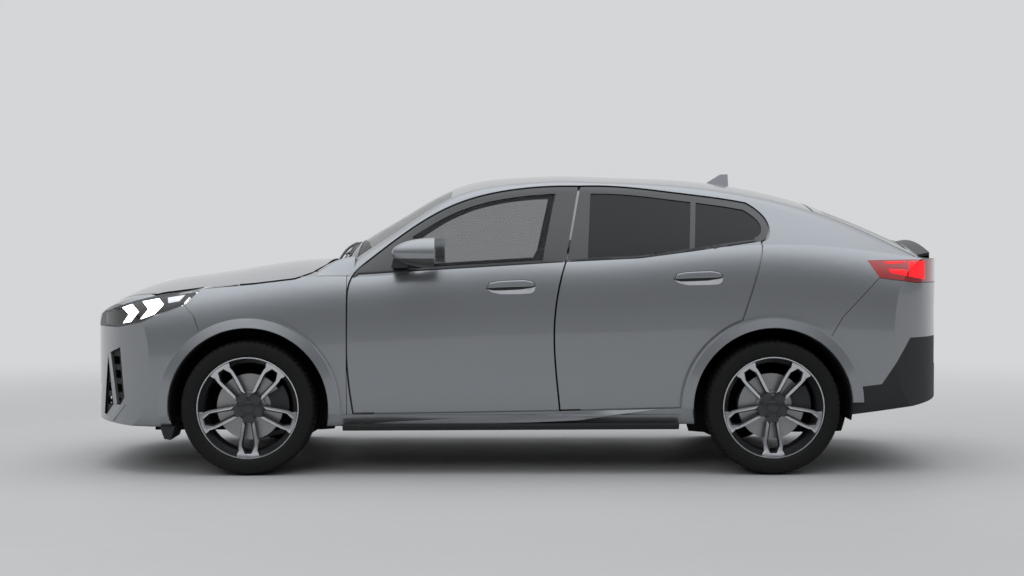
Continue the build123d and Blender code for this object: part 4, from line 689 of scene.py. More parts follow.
# Flush pull handles: a lacquered flap over a gloss black patch that is painted shade in the finger recess,
# and a bright lower lip
handleLook = {
    "front": (-0.042, 0.966),
    "rear": (0.919, 1.012),
    "grid": (40, 8),
    "merge": 0.00001,
    # the slot patch is painted shade: gloss black laid on the door skin where the finger recess lies in
    # shadow behind the flap
    "ShadedSlot": {
        "top": [(-0.128, -0.012), (-0.112, 0.020), (-0.060, 0.031), (0.070, 0.036), (0.116, 0.026),
                (0.130, 0.004)],
        "low": [(-0.128, -0.012), (-0.100, -0.020), (-0.040, -0.018), (0.060, -0.014), (0.110, -0.006),
                (0.130, 0.004)],
        "heights": (0.0006, 0.0006, 0.0),  # lift, edge and tilt
    },
    "Flap": {
        "top": [(-0.124, -0.010), (-0.109, 0.018), (-0.059, 0.0285), (0.069, 0.0335), (0.113, 0.024),
                (0.126, 0.005)],
        "low": [(-0.124, -0.010), (-0.100, -0.006), (-0.040, -0.003), (0.060, 0.000), (0.108, 0.002),
                (0.126, 0.005)],
        "heights": (0.0045, 0.0022, 0.0),
    },
    "Lip": {
        "top": [(-0.124, -0.013), (-0.090, -0.019), (-0.030, -0.017), (0.050, -0.013), (0.104, -0.004),
                (0.129, 0.002)],
        "low": [(-0.124, -0.015), (-0.098, -0.030), (-0.050, -0.039), (0.050, -0.038), (0.104, -0.034),
                (0.121, -0.022)],
        "heights": (0.0040, 0.0006, 0.005),
    },
}


def makeHandle(corner, end):
    look = handleLook
    x0, z0 = look[end]
    skin = skinOf(f"{end}_door_{corner}")
    side = sideSign[corner]
    # the first part is painted shade, a gloss black patch for the shadow in the finger recess
    for part, finish, slotName in (("ShadedSlot", pianoBlack, "dark_trim"), ("Flap", paint, "paint"),
                                   ("Lip", brightTrim, "paint")):
        name = f"{end}Handle{part}{corner.title()}"
        upper = [(x0 + x, z0 + z) for x, z in look[part]["top"]]
        lower = [(x0 + x, z0 + z) for x, z in look[part]["low"]]
        mesh = skinPatch(name, upper, lower, look["grid"], skin, side, *look[part]["heights"])
        addPiece(name, tidyMesh(mesh, look["merge"]), f"door_{end}_{corner}", [finish], sharp=50.0)


for corner in ("left", "right"):
    for end in ("front", "rear"):
        makeStrip(corner, end)
        makeHandle(corner, end)
print("door trim made")


# Headlamps: a dark housing on the lens with two lit chevrons and a bright reflector
headlampLook = {
    "housingTop": [(-2.165, 0.822), (-2.050, 0.858), (-1.985, 0.878), (-1.830, 0.914), (-1.680, 0.934)],
    "housingLow": [(-2.165, 0.764), (-2.080, 0.760), (-1.936, 0.790), (-1.822, 0.838), (-1.722, 0.878)],
    "housingGrid": (60, 16),
    "housingHeights": (0.0008, 0.0004),  # lift and edge
    "chevrons": [
        {"top": [(-2.050, 0.856), (-1.992, 0.874)], "knee": [(-2.009, 0.822), (-1.950, 0.836)],
         "low": [(-2.046, 0.775), (-1.996, 0.784)]},
        {"top": [(-1.938, 0.888), (-1.852, 0.904)], "knee": [(-1.902, 0.850), (-1.822, 0.874)],
         "low": [(-1.944, 0.796), (-1.868, 0.824)]},
    ],
    "chevronGrid": (16, 6),
    "reflectorTop": [(-1.806, 0.908), (-1.716, 0.922)],
    "reflectorLow": [(-1.800, 0.880), (-1.742, 0.890)],
    "reflectorGrid": (12, 4),
    "heights": (0.0022, 0.0012),
}


def makeHeadlamp(corner):
    look = headlampLook
    skin = skinOf("headlamps")
    side = sideSign[corner]
    name = f"headlampHousing{corner.title()}"
    mesh = skinPatch(name, look["housingTop"], look["housingLow"], look["housingGrid"], skin, side,
                     *look["housingHeights"])
    addPiece(name, mesh, "body", [pianoBlack], sharp=40.0)
    meshes = []
    for chevron in look["chevrons"]:
        left, right = ([chevron[row][end] for row in ("top", "knee", "low")] for end in (0, 1))
        meshes.append(skinPatch("chevron", left, right, look["chevronGrid"], skin, side, *look["heights"]))
    name = f"headlampReflector{corner.title()}"
    mesh = skinPatch(name, look["reflectorTop"], look["reflectorLow"], look["reflectorGrid"], skin, side,
                     *look["heights"])
    addPiece(name, mesh, "body", [brightTrim], sharp=50.0)
    lit = joinMeshes(f"headlampChevrons{corner.title()}", meshes)
    addPiece(lit.name, lit, "body", [whiteGlow], sharp=50.0)


# Tail lamps: lit bars set in the red lens
tailLampLook = {
    "bars": [
        {"top": [(1.885, 1.091), (2.000, 1.095)], "low": [(1.905, 1.083), (1.995, 1.086)]},
        {"top": [(1.905, 1.055), (2.005, 1.050)], "low": [(1.920, 1.035), (2.000, 1.020)]},
        {"top": [(2.020, 1.093), (2.120, 1.097)], "low": [(2.012, 1.018), (2.118, 1.000)]},
    ],
    "grid": (14, 6),
    "heights": (0.0016, 0.0006),
}


def makeTailLamp(corner):
    look = tailLampLook
    skin = skinOf("tail_lamps")
    meshes = []
    for bar in look["bars"]:
        meshes.append(skinPatch("bar", bar["top"], bar["low"], look["grid"], skin, sideSign[corner],
                                *look["heights"]))
    lit = joinMeshes(f"tailLampBars{corner.title()}", meshes)
    addPiece(lit.name, lit, "body", [redGlow], sharp=50.0)


for corner in ("left", "right"):
    makeHeadlamp(corner)
    makeTailLamp(corner)
print("lamps made")


# Closed slabs from two matching outlines, for blades, flaps and backing plates
def slabMesh(name, front, back, bevel=0.0015):
    mesh = bpy.data.meshes.new(name)
    work = bmesh.new()
    loops = [[work.verts.new(point) for point in loop] for loop in (front, back)]
    count = len(front)
    work.faces.new(loops[0])
    work.faces.new(list(reversed(loops[1])))
    for i in range(count):
        j = (i + 1) % count
        work.faces.new((loops[0][i], loops[1][i], loops[1][j], loops[0][j]))
    bmesh.ops.recalc_face_normals(work, faces=work.faces)
    if bevel:
        bmesh.ops.bevel(work, geom=work.edges[:], offset=bevel, segments=2, affect="EDGES",
                        clamp_overlap=True)
    work.to_mesh(mesh)
    work.free()
    return mesh


def shifted(points, step):
    return [tuple(a + b for a, b in zip(point, step)) for point in points]


# Corner intakes: a lacquered blade and lower facet, a dark duct wall, an air flap and a splash plate
intakeLook = {
    "blade": [(-2.157, -0.630, 0.612), (-2.134, -0.668, 0.618), (-2.088, -0.735, 0.354),
              (-2.114, -0.702, 0.346)],
    "facet": [(-2.178, -0.590, 0.279), (-2.114, -0.700, 0.350), (-2.036, -0.788, 0.352),
              (-2.118, -0.700, 0.262)],
    "inward": (0.012, 0.014, 0.0),
    "wall": [(-2.120, -0.52, 0.27), (-1.880, -0.79, 0.27), (-1.880, -0.79, 0.68), (-2.120, -0.52, 0.68)],
    "wallStep": (0.006, 0.006, 0.0),
    "flap": [(-1.845, -0.850, 0.247), (-1.768, -0.850, 0.247), (-1.790, -0.842, 0.176),
             (-1.825, -0.842, 0.182)],
    "flapStep": (0.0, 0.26, 0.0),
    "splash": [(-1.940, -0.4725, 0.190), (-1.780, -0.4725, 0.190), (-1.780, -0.4725, 0.450),
               (-1.940, -0.4725, 0.450)],
    "splashStep": (0.0, 0.004, 0.0),
}


def makeIntake(corner):
    look = intakeLook
    flip = -sideSign[corner]  # the outlines are the left side's
    for part, step, finish, slotName in (("blade", "inward", paint, "paint"),
                                         ("facet", "inward", paint, "paint"),
                                         ("wall", "wallStep", linerFelt, "liner"),
                                         ("flap", "flapStep", grainBlack, "dark_trim"),
                                         ("splash", "splashStep", linerFelt, "liner")):
        front = [(x, flip * y, z) for x, y, z in look[part]]
        x, y, z = look[step]
        name = f"intake{part.title()}{corner.title()}"
        mesh = slabMesh(name, front, shifted(front, (x, flip * y, z)))
        addPiece(name, mesh, "body", [finish], sharp=30.0)


# Radiator behind the middle grilles, with upright fins
radiatorLook = {
    "x": -2.165,
    "half": 0.50,
    "low": 0.30,
    "high": 0.73,
    "coreSet": 0.012,
    "coreDepth": 0.03,
    "fins": 56,
    "fin": 0.004,
    "finDepth": 0.013,
}


def uprightPlate(x, left, right):
    low, high = radiatorLook["low"], radiatorLook["high"]
    return [(x, left, low), (x, right, low), (x, right, high), (x, left, high)]


def makeRadiator():
    look = radiatorLook
    core = uprightPlate(look["x"] + look["coreSet"], -look["half"], look["half"])
    meshes = [slabMesh("core", core, shifted(core, (look["coreDepth"], 0, 0)))]
    for count in range(look["fins"]):
        y = -look["half"] + 2 * look["half"] * (count + 0.5) / look["fins"]
        fin = uprightPlate(look["x"], y - look["fin"] / 2, y + look["fin"] / 2)
        meshes.append(slabMesh("fin", fin, shifted(fin, (look["finDepth"], 0, 0)), 0.0))
    mesh = joinMeshes("radiatorCore", meshes)
    addPiece("radiatorCore", mesh, "body", [grainBlack], sharp=30.0)


# Inner walls of the wheel houses, open at the hub
houseLook = {
    "front": 0.4685,
    "rear": 0.612,
    "outer": 0.432,
    "inner": 0.15,
    "wall": 0.004,
    "from": -48.0,
    "to": 228.0,
    "steps": 60,
    "bottom": 0.190,
}


def makeHouse(corner, end):
    look = houseLook
    x0, y0, z0 = wheelPlace(corner, end)
    side = sideSign[corner]
    rows = []
    for step in range(look["steps"] + 1):
        angle = math.radians(look["from"] + (look["to"] - look["from"]) * step / look["steps"])
        outer = look["outer"]
        if math.sin(angle) < 0:
            outer = min(outer, (look["bottom"] - z0) / math.sin(angle))
        spots = [(look["inner"], 0.0), (outer, 0.0), (outer, look["wall"]), (look["inner"], look["wall"])]
        rows.append([(x0 + r * math.cos(angle), side * (look[end] - drop), z0 + r * math.sin(angle))
                     for r, drop in spots])
    name = f"{end}WheelHouseWall{corner.title()}"
    mesh = closeEnds(tidyMesh(meshFromRows(name, rows, True, False)))
    addPiece(name, mesh, "body", [linerFelt], sharp=30.0)


# Sill blades: an upward facet that swells and tapers, over a dark lower skirt
sillLook = {
    "upper": [(-0.823, 0.248), (-0.760, 0.259), (-0.680, 0.268), (-0.366, 0.286), (0.004, 0.304),
              (0.458, 0.330), (0.746, 0.3425)],
    "lower": [(-0.823, 0.244), (-0.680, 0.246), (-0.366, 0.250), (0.004, 0.260), (0.315, 0.273),
              (0.458, 0.298), (0.746, 0.3395)],
    "reach": 0.017,
    "crest": 0.86,
    "fullHeight": 0.03,
    "seat": 0.0008,
    "thick": 0.020,
    "merge": 0.00001,
    "columns": 90,
    "rowsAcross": 14,
    "skirt": [(0.880, 0.252), (0.892, 0.262), (0.890, 0.250), (0.868, 0.226), (0.800, 0.222), (0.796, 0.2285),
              (0.846, 0.232)],
    "skirtFrom": -0.905,
    "skirtTo": 0.822,
    "skirtSteps": 24,
    "skirtRise": 0.006,
}


def sillHeight(v):
    reach, crest = sillLook["reach"], sillLook["crest"]
    return reach * v / crest if v <= crest else reach * (1 - v) / (1 - crest)


def makeSill(corner):
    look = sillLook
    skin = skinOf("sill_trims", f"side_frame_{corner}")
    side = sideSign[corner]
    rows = []
    for i in range(look["columns"] + 1):
        share = i / look["columns"]
        a, b = alongLine(look["upper"], share), alongLine(look["lower"], share)
        taper = min(1.0, abs(a[1] - b[1]) / look["fullHeight"])
        row = []
        for j in range(look["rowsAcross"] + 1):
            v = j / look["rowsAcross"]
            hit = castSide(skin, side, a[0] + (b[0] - a[0]) * v, a[1] + (b[1] - a[1]) * v)[0]
            row.append((hit.x, hit.y + side * (look["seat"] + sillHeight(v) * taper), hit.z))
        rows.append(row + [(x, y - side * look["thick"], z) for x, y, z in reversed(row)])
    mesh = tidyMesh(meshFromRows(f"sillBlade{corner.title()}", rows, True, False), look["merge"])
    addPiece(mesh.name, mesh, "body", [paint], sharp=40.0)
    rows = []
    for step in range(look["skirtSteps"] + 1):
        share = step / look["skirtSteps"]
        x = look["skirtFrom"] + (look["skirtTo"] - look["skirtFrom"]) * share
        rows.append([(x, side * y, z + look["skirtRise"] * share) for y, z in look["skirt"]])
    mesh = meshFromRows(f"sillSkirt{corner.title()}", rows, True, False)
    addPiece(mesh.name, tidyMesh(mesh), "body", [grainBlack], sharp=30.0)


# Arch lips: a slanted band on each arch trim, proud at the wheel opening
lipLook = {
    "inner": 0.4120,
    "outer": 0.4590,
    "front": (-4.0, 186.0),
    "rear": (3.5, 180.5),
    "seat": 0.0006,
    "rise": 0.012,
    "sunk": 0.002,
    "columns": 110,
    "rowsAcross": 6,
}


def makeArchLip(corner, end):
    look = lipLook
    skin = skinOf("arch_trims")
    side = sideSign[corner]
    x0, y0, z0 = wheelPlace(corner, end)
    first, last = look[end]
    rows = []
    for step in range(look["columns"] + 1):
        angle = math.radians(first + (last - first) * step / look["columns"])
        row = []
        for count in range(look["rowsAcross"] + 1):
            share = count / look["rowsAcross"]
            reach = look["inner"] + (look["outer"] - look["inner"]) * share
            hit = castSide(skin, side, x0 + reach * math.cos(angle), z0 + reach * math.sin(angle))[0]
            row.append((hit.x, hit.y + side * (look["seat"] + look["rise"] * (1 - share)), hit.z))
        rows.append(row + [(x, y - side * (look["sunk"] + look["rise"]), z) for x, y, z in reversed(row)])
    name = f"{end}ArchLip{corner.title()}"
    mesh = meshFromRows(name, rows, True, False)
    addPiece(name, tidyMesh(mesh), "body", [paint], sharp=35.0)


for corner in ("left", "right"):
    makeIntake(corner)
    makeSill(corner)
    for make in (makeArchLip, makeHouse):
        for end in ("front", "rear"):
            make(corner, end)
makeRadiator()
print("lower trim made")


# Wipers on the scuttle: an arm and a blade on each side
wiperLook = {
    "pivots": [(-0.955, -0.52), (-0.955, 0.10)],
    "steps": 18,
    "lift": 0.012,
    "arm": {"start": (0.0, 0.0), "run": (0.075, 0.44), "radius": 0.007, "share": 1.0, "arch": 0.010},
    "blade": {"start": (0.055, 0.10), "run": (0.03, 0.52), "radius": 0.006, "share": 0.6, "arch": 0.0},
}


def tubeRows(path, radius, around=8):
    turns = [2 * math.pi * k / around for k in range(around)]
    rows = []
    for index, point in enumerate(path):
        ahead = Vector(path[min(index + 1, len(path) - 1)]) - Vector(path[max(index - 1, 0)])
        across = ahead.cross(Vector((0, 0, 1))).normalized()
        up = across.cross(ahead).normalized()
        rows.append([Vector(point) + radius * (math.cos(turn) * across + math.sin(turn) * up)
                     for turn in turns])
    return rows


def makeWipers():
    look = wiperLook
    skin = skinOf("windscreen", "bulkhead")
    meshes = []
    for x0, y0 in look["pivots"]:
        for part in ("arm", "blade"):
            rod = look[part]
            path = []
            for step in range(look["steps"] + 1):
                share = step / look["steps"]
                spots = [a + b + c * share for a, b, c in zip((x0, y0), rod["start"], rod["run"])]
                hit, normal = castDown(skin, *spots)
                height = look["lift"] * rod["share"] + rod["arch"] * math.sin(math.pi * share)
                path.append(hit + normal * height)
            meshes.append(meshFromRows(part, tubeRows(path, rod["radius"]), True, False))
    mesh = closeEnds(joinMeshes("windscreenWipers", meshes))
    addPiece("windscreenWipers", mesh, "body", [satinBlack], sharp=40.0)


makeWipers()
print("wipers made")


# Seats: each cushion is blown up by cloth pressure inside its cover, then gets its piping
seatLook = {
    "front": {"x": -0.157, "y": 0.370, "floor": 0.290, "backSet": -0.262},
    "cushion": {"size": (0.50, 0.48, 0.150), "centre": (0.010, 0.0, 0.218), "tilt": -5.0,
                "bolster": 0.35, "channels": 3.0},
    "back": {"size": (0.630, 0.470, 0.118), "centre": (0.582, 0.0, 0.575), "tilt": -76.0,
             "bolster": 0.40, "channels": 4.0},
    "rest": {"size": (0.175, 0.250, 0.080), "centre": (0.690, 0.0, 0.985), "tilt": -76.0,
             "bolster": 0.0, "channels": 0.0},
    "bench": {"size": (0.360, 1.150, 0.130), "centre": (0.785, 0.0, 0.600), "tilt": -8.0,
              "bolster": 0.10, "channels": 2.0},
    "benchBack": {"size": (0.520, 1.150, 0.090), "centre": (1.100, 0.0, 0.880), "tilt": -74.0,
                  "bolster": 0.10, "channels": 3.0},
    "fill": 0.85,
}
padLook = {
    "grid": (30, 30, 6),
    "sidePull": 0.10,
    "cornerPull": 0.05,
    "bolsterFrom": 0.55,
    "crown": 0.10,
    "endDrop": 0.12,
    "channelDepth": 0.10,
    "channelHalf": 0.6,
    "channelAbove": 0.9,
}
swellLook = {"frames": 14, "pressure": 4.0, "quality": 3, "cap": 0.012}


# A point of the cover: u and v run over the pad from -1 to 1, w from its back to its face
def padPoint(size, bolster, channels, u, v, w):
    look = padLook
    length, width, thick = size
    pull = 1 - look["sidePull"] * (2 * w - 1) ** 2
    x = u * length / 2 * (1 - look["cornerPull"] * v ** 4) * pull
    y = v * width / 2 * (1 - look["cornerPull"] * u ** 4) * pull
    side = max(0.0, (abs(v) - look["bolsterFrom"]) / (1 - look["bolsterFrom"]))
    rise = bolster * thick * math.sin(math.pi * min(1.0, side)) * w
    crown = thick * look["crown"] * (1 - u * u) * (1 - v * v) * w
    dent = 0.0
    if w > look["channelAbove"] and abs(v) < look["channelHalf"]:
        dent = look["channelDepth"] * thick * max(0.0, math.cos(channels * math.pi * u)) ** 8
    z = thick * (w - 0.5) * (1 - look["endDrop"] * u ** 8) + rise + crown - dent
    return x, y, z


def padMesh(name, size, bolster, channels):
    columns, rowsAcross, layers = padLook["grid"]
    work = bmesh.new()
    grid = {}
    for i in range(columns + 1):
        for j in range(rowsAcross + 1):
            for k in range(layers + 1):
                if i in (0, columns) or j in (0, rowsAcross) or k in (0, layers):
                    u, v, w = 2 * i / columns - 1, 2 * j / rowsAcross - 1, k / layers
                    grid[i, j, k] = work.verts.new(padPoint(size, bolster, channels, u, v, w))
    quads = []
    for i in range(columns):
        for j in range(rowsAcross):
            for k in (0, layers):
                quads.append(((i, j, k), (i + 1, j, k), (i + 1, j + 1, k), (i, j + 1, k)))
        for k in range(layers):
            for j in (0, rowsAcross):
                quads.append(((i, j, k), (i + 1, j, k), (i + 1, j, k + 1), (i, j, k + 1)))
    for j in range(rowsAcross):
        for k in range(layers):
            for i in (0, columns):
                quads.append(((i, j, k), (i, j + 1, k), (i, j + 1, k + 1), (i, j, k + 1)))
    for quad in quads:
        work.faces.new([grid[key] for key in quad])
    bmesh.ops.recalc_face_normals(work, faces=work.faces)
    mesh = bpy.data.meshes.new(name)
    work.to_mesh(mesh)
    work.free()
    return mesh


# Cloth pressure swells the cover; no point moves further than the cap
def swellPad(mesh):
    look = swellLook
    pad = bpy.data.objects.new("swelling", mesh)
    scene.collection.objects.link(pad)
    start = [vertex.co.copy() for vertex in mesh.vertices]
    cloth = pad.modifiers.new("cover", "CLOTH")
    cloth.settings.use_pressure = True
    cloth.settings.uniform_pressure_force = look["pressure"]
    cloth.settings.effector_weights.gravity = 0.0
    cloth.settings.quality = look["quality"]
    cloth.point_cache.frame_end = look["frames"]
    for step in range(1, look["frames"] + 1):
        scene.frame_set(step)
    swollen = pad.evaluated_get(bpy.context.evaluated_depsgraph_get())
    moved = [vertex.co.copy() for vertex in swollen.data.vertices]
    scene.frame_set(1)
    bpy.data.objects.remove(pad)
    for vertex, old, new in zip(mesh.vertices, start, moved):
        step = new - old
        if step.length > look["cap"]:
            step = step.normalized() * look["cap"]
        vertex.co = old + step
    return mesh


pipingLook = {"radius": 0.0035, "steps": 80, "around": 6, "reach": 0.455, "square": 0.35, "height": 0.47}


def pipingMesh(name, size):
    look = pipingLook
    length, width, thick = size
    steps, around = look["steps"], look["around"]
    up = Vector((0, 0, 1))
    path = []
    for step in range(steps):
        angle = 2 * math.pi * step / steps
        cos, sin = math.cos(angle), math.sin(angle)
        x = look["reach"] * length * math.copysign(abs(cos) ** look["square"], cos)
        y = look["reach"] * width * math.copysign(abs(sin) ** look["square"], sin)
        path.append(Vector((x, y, look["height"] * thick)))
    turns = [2 * math.pi * k / around for k in range(around)]
    rows = []
    for index, point in enumerate(path):
        across = (path[(index + 1) % steps] - path[index - 1]).cross(up).normalized()
        rows.append([point + look["radius"] * (math.cos(turn) * across + math.sin(turn) * up)
                     for turn in turns])
    return meshFromRows(name, rows, True, True)


def padAt(name, part, spot, replaced=None):
    look = seatLook[part]
    mesh = padMesh(name, look["size"], look["bolster"], look["channels"])
    swellPad(mesh)
    mesh = joinMeshes(name, [mesh, pipingMesh(name + "Piping", look["size"])])
    middle = Vector(look["centre"])
    place = Matrix.Translation(Vector((spot[0] + middle.x, spot[1], spot[2] + middle.z)))
    mesh.transform(place @ Matrix.Rotation(math.radians(look["tilt"]), 4, "Y"))
    pad = addPiece(name, mesh, "body", [seatHide], sharp=60.0)
    smooth = pad.modifiers.new("soft", "SUBSURF")
    smooth.levels = smooth.render_levels = 1
    if replaced:
        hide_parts(replaced)


frameLook = {
    "foot": [(-0.155, -0.19), (0.195, -0.19), (0.195, 0.19), (-0.155, 0.19)],
    "high": 0.140,
    "round": 0.012,
    "postHalf": 0.055,
    "postFoot": (0.403, 0.83),
    "postRun": (0.06, 0.10),
    "postRadius": 0.006,
}


def makeSeats():
    look = frameLook
    spot = seatLook["front"]
    floor = spot["floor"]
    for corner in ("left", "right"):
        x, y = spot["x"], sideSign[corner] * spot["y"]
        behind = (x + spot["backSet"], y, floor)
        replaced = "front_seats" if corner == "left" else None  # one node holds both front seats
        padAt(f"seatCushion{corner.title()}", "cushion", (x, y, floor), replaced)
        padAt(f"seatBack{corner.title()}", "back", behind)
        padAt(f"headRest{corner.title()}", "rest", behind)
        foot = [(x + along, y + across, floor) for along, across in look["foot"]]
        top = shifted(foot, (0, 0, look["high"]))
        mesh = slabMesh(f"seatFrame{corner.title()}", foot, top, look["round"])
        addPiece(mesh.name, mesh, "body", [cabinPlastic], sharp=30.0)
        (footX, footZ), (runX, runZ) = look["postFoot"], look["postRun"]
        posts = []
        for shift in (-look["postHalf"], look["postHalf"]):
            path = [(x + footX + runX * t, y + shift, floor + footZ + runZ * t) for t in (0.0, 0.5, 1.0)]
            posts.append(meshFromRows("post", tubeRows(path, look["postRadius"]), True, False))
        mesh = joinMeshes(f"headRestPosts{corner.title()}", posts)
        addPiece(mesh.name, mesh, "body", [brightTrim], sharp=40.0)
    padAt("benchCushion", "bench", (0.0, 0.0, 0.0), "rear_seat")
    padAt("benchBack", "benchBack", (0.0, 0.0, 0.0))


makeSeats()
print("seats made")


# Inner faces of doors, sides, roof and lids get their trim instead of paint
liningLook = {
    "door": {"names": ["front_door_left", "rear_door_left", "front_door_right", "rear_door_right",
                       "side_frame_left", "side_frame_right"], "limit": 0.55},
    "roof": {"names": ["roof_panel", "tailgate"], "limit": 0.25},
    "bonnet": {"names": ["bonnet"], "limit": 0.25},
}


def lineNode(name, kind, finish):
    mesh = nodes[name].data
    mesh.materials.append(finish)
    turn = nodes[name].matrix_world.to_3x3()
    side = sideSign["left" if name.endswith("left") else "right"]
    limit = liningLook[kind]["limit"]
    for face in mesh.polygons:
        normal = turn @ face.normal
        facing = -side * normal.y if kind == "door" else -normal.z
        if facing > limit:
            face.material_index = 1


for kind, finish in (("door", cabinPlastic), ("roof", cabinPlastic), ("bonnet", linerFelt)):
    for name in liningLook[kind]["names"]:
        lineNode(name, kind, finish)
print("linings set")


# Scuttle: a dark cover ahead of the windscreen with slots for the bonnet arms, and painted corners
scuttleLook = {
    "spans": [(-0.690, -0.588), (-0.532, 0.532), (0.588, 0.690)],
    "front": [(0.0, -1.000, 1.066), (0.30, -1.002, 1.062), (0.53, -1.012, 1.044), (0.60, -1.020, 1.036),
              (0.70, -1.030, 1.022)],
    "rear": -0.925,
    "rearLift": 0.002,
    "wall": 0.008,
    "hem": 0.012,
    "hemRound": 0.004,
    "sag": 0.35,
    "cornerTop": [(-1.042, 1.046), (-1.000, 1.074), (-0.954, 1.097), (-0.900, 1.112), (-0.850, 1.122)],
    "cornerInner": 0.690,
    "cornerOuter": 0.800,
    "cornerRows": 8,
    "cornerLift": 0.001,
    "cornerBulge": 0.003,
    "cornerWall": (0.004, 0.012),
    "steps": 16,
}


def scuttleFront(y):
    line = scuttleLook["front"]
    for a, b in zip(line, line[1:]):
        if abs(y) <= b[0]:
            share = (abs(y) - a[0]) / (b[0] - a[0])
            return a[1] + (b[1] - a[1]) * share, a[2] + (b[2] - a[2]) * share
    return line[-1][1:]


def makeScuttle():
    look = scuttleLook
    skin = skinOf("windscreen")
    meshes = []
    for low, high in look["spans"]:
        rows = []
        for step in range(look["steps"] + 1):
            y = low + (high - low) * step / look["steps"]
            x, z = scuttleFront(y)
            hit = castDown(skin, look["rear"], y)[0]
            top = [(x, y, z - look["hem"]), (x + look["hemRound"], y, z),
                   ((x + look["rear"]) / 2, y, z + look["sag"] * (hit.z - z)),
                   (look["rear"], y, hit.z + look["rearLift"])]
            rows.append(top + shifted(reversed(top), (0, 0, -look["wall"])))
        meshes.append(meshFromRows("scuttle", rows, True, False))
    mesh = joinMeshes("scuttleCover", meshes)
    addPiece("scuttleCover", closeEnds(mesh), "body", [grainBlack], sharp=40.0)


def makeCowlCorner(corner):
    look = scuttleLook
    skin = skinOf("front_wings", f"side_frame_{corner}")
    side = sideSign[corner]
    rows = []
    for step in range(look["steps"] + 1):
        x, top = alongLine(look["cornerTop"], step / look["steps"])
        low = castDown(skin, x, side * look["cornerOuter"])[0].z
        row = []
        for count in range(look["cornerRows"] + 1):
            share = count / look["cornerRows"]
            y = look["cornerOuter"] + (look["cornerInner"] - look["cornerOuter"]) * share
            rise = (top - low) * math.sin(math.pi / 2 * share)
            bulge = look["cornerBulge"] * math.sin(math.pi * share)
            row.append((x, side * y, low + look["cornerLift"] + rise + bulge))
        inward, down = look["cornerWall"]
        rows.append(row + shifted(reversed(row), (0, -side * inward, -down)))
    name = f"cowlCorner{corner.title()}"
    mesh = closeEnds(meshFromRows(name, rows, True, False))
    addPiece(name, mesh, "body", [paint], sharp=40.0)


makeScuttle()
for corner in ("left", "right"):
    makeCowlCorner(corner)
print("scuttle made")


# Cabin fittings: a wide display, louvred vents, a gear selector and the steering wheel's pad
cabinLook = {
    "display": [(-0.580, -0.560, 0.958), (-0.580, 0.150, 0.958), (-0.592, 0.150, 1.062),
                (-0.592, -0.560, 1.062)],
    "displayStep": (-0.016, 0.0, 0.002),
    "displayRound": 0.004,
    "vents": [-0.640, 0.260, 0.640],
    "castFrom": -0.2,
    "castReach": 1.0,
    "ventZ": 0.905,
    "ventHalf": 0.055,
    "louvres": 5,
    "louvreStep": 0.013,
    "louvreProud": 0.010,
    "louvreHeight": 0.004,
    "louvreDepth": (-0.012, 0.0, 0.003),
    "louvreRound": 0.0008,
    "selector": [(-0.330, -0.035, 0.600), (-0.250, -0.035, 0.600), (-0.250, 0.035, 0.600),
                 (-0.330, 0.035, 0.600)],
    "selectorRise": (-0.012, 0.0, 0.070),
    "selectorRound": 0.010,
}
wheelPadLook = {
    "centre": (-0.432, -0.370, 0.950),
    "tilt": 24.0,
    "radius": 0.064,
    "squat": 0.86,
    "proud": 0.024,
    "rise": 0.010,
    "steps": 48,
    "profile": [(0.001, 1.0), (0.5, 0.96), (0.8, 0.80), (0.95, 0.45), (1.0, 0.0), (1.0, -0.6)],
}


def makeVents():
    look = cabinLook
    skin = skinOf("dashboard")
    meshes = []
    for y in look["vents"]:
        for count in range(look["louvres"]):
            z = look["ventZ"] + (count - look["louvres"] / 2) * look["louvreStep"]
            start = Vector((look["castFrom"], y, z))
            hit = skin.ray_cast(start, Vector((-1, 0, 0)), look["castReach"])[0]  # from the seats forward
            if hit is None:
                continue
            x, top = hit.x + look["louvreProud"], z + look["louvreHeight"]
            left, right = y - look["ventHalf"], y + look["ventHalf"]
            front = [(x, left, z), (x, right, z), (x, right, top), (x, left, top)]
            meshes.append(slabMesh("louvre", front, shifted(front, look["louvreDepth"]), look["louvreRound"]))
    addPiece("dashVents", joinMeshes("dashVents", meshes), "body", [satinBlack], sharp=40.0)


def makeWheelPad():
    look = wheelPadLook
    tilt = math.radians(look["tilt"])
    axis = Vector((math.cos(tilt), 0, math.sin(tilt)))
    across, up = Vector((0, 1, 0)), Vector((-math.sin(tilt), 0, math.cos(tilt)))
    turns = [2 * math.pi * k / look["steps"] for k in range(look["steps"])]
    rows = []
    for reach, rise in look["profile"]:
        middle = Vector(look["centre"]) + axis * (look["proud"] + look["rise"] * rise)
        radius = look["radius"] * reach
        rows.append([middle + radius * (math.cos(turn) * across + look["squat"] * math.sin(turn) * up)
                     for turn in turns])
    mesh = tidyMesh(closeEnds(meshFromRows("steeringPad", rows, True, False)))
    addPiece("steeringPad", mesh, "steering_wheel", [satinBlack], sharp=40.0)


def makeCabin():
    look = cabinLook
    back = shifted(look["display"], look["displayStep"])
    mesh = slabMesh("dashDisplay", look["display"], back, look["displayRound"])
    addPiece("dashDisplay", mesh, "body", [pianoBlack], sharp=40.0)
    makeVents()
    top = shifted(look["selector"], look["selectorRise"])
    mesh = slabMesh("gearSelector", look["selector"], top, look["selectorRound"])
    addPiece("gearSelector", mesh, "body", [pianoBlack], sharp=40.0)
    makeWheelPad()


makeCabin()
print("cabin fittings made")


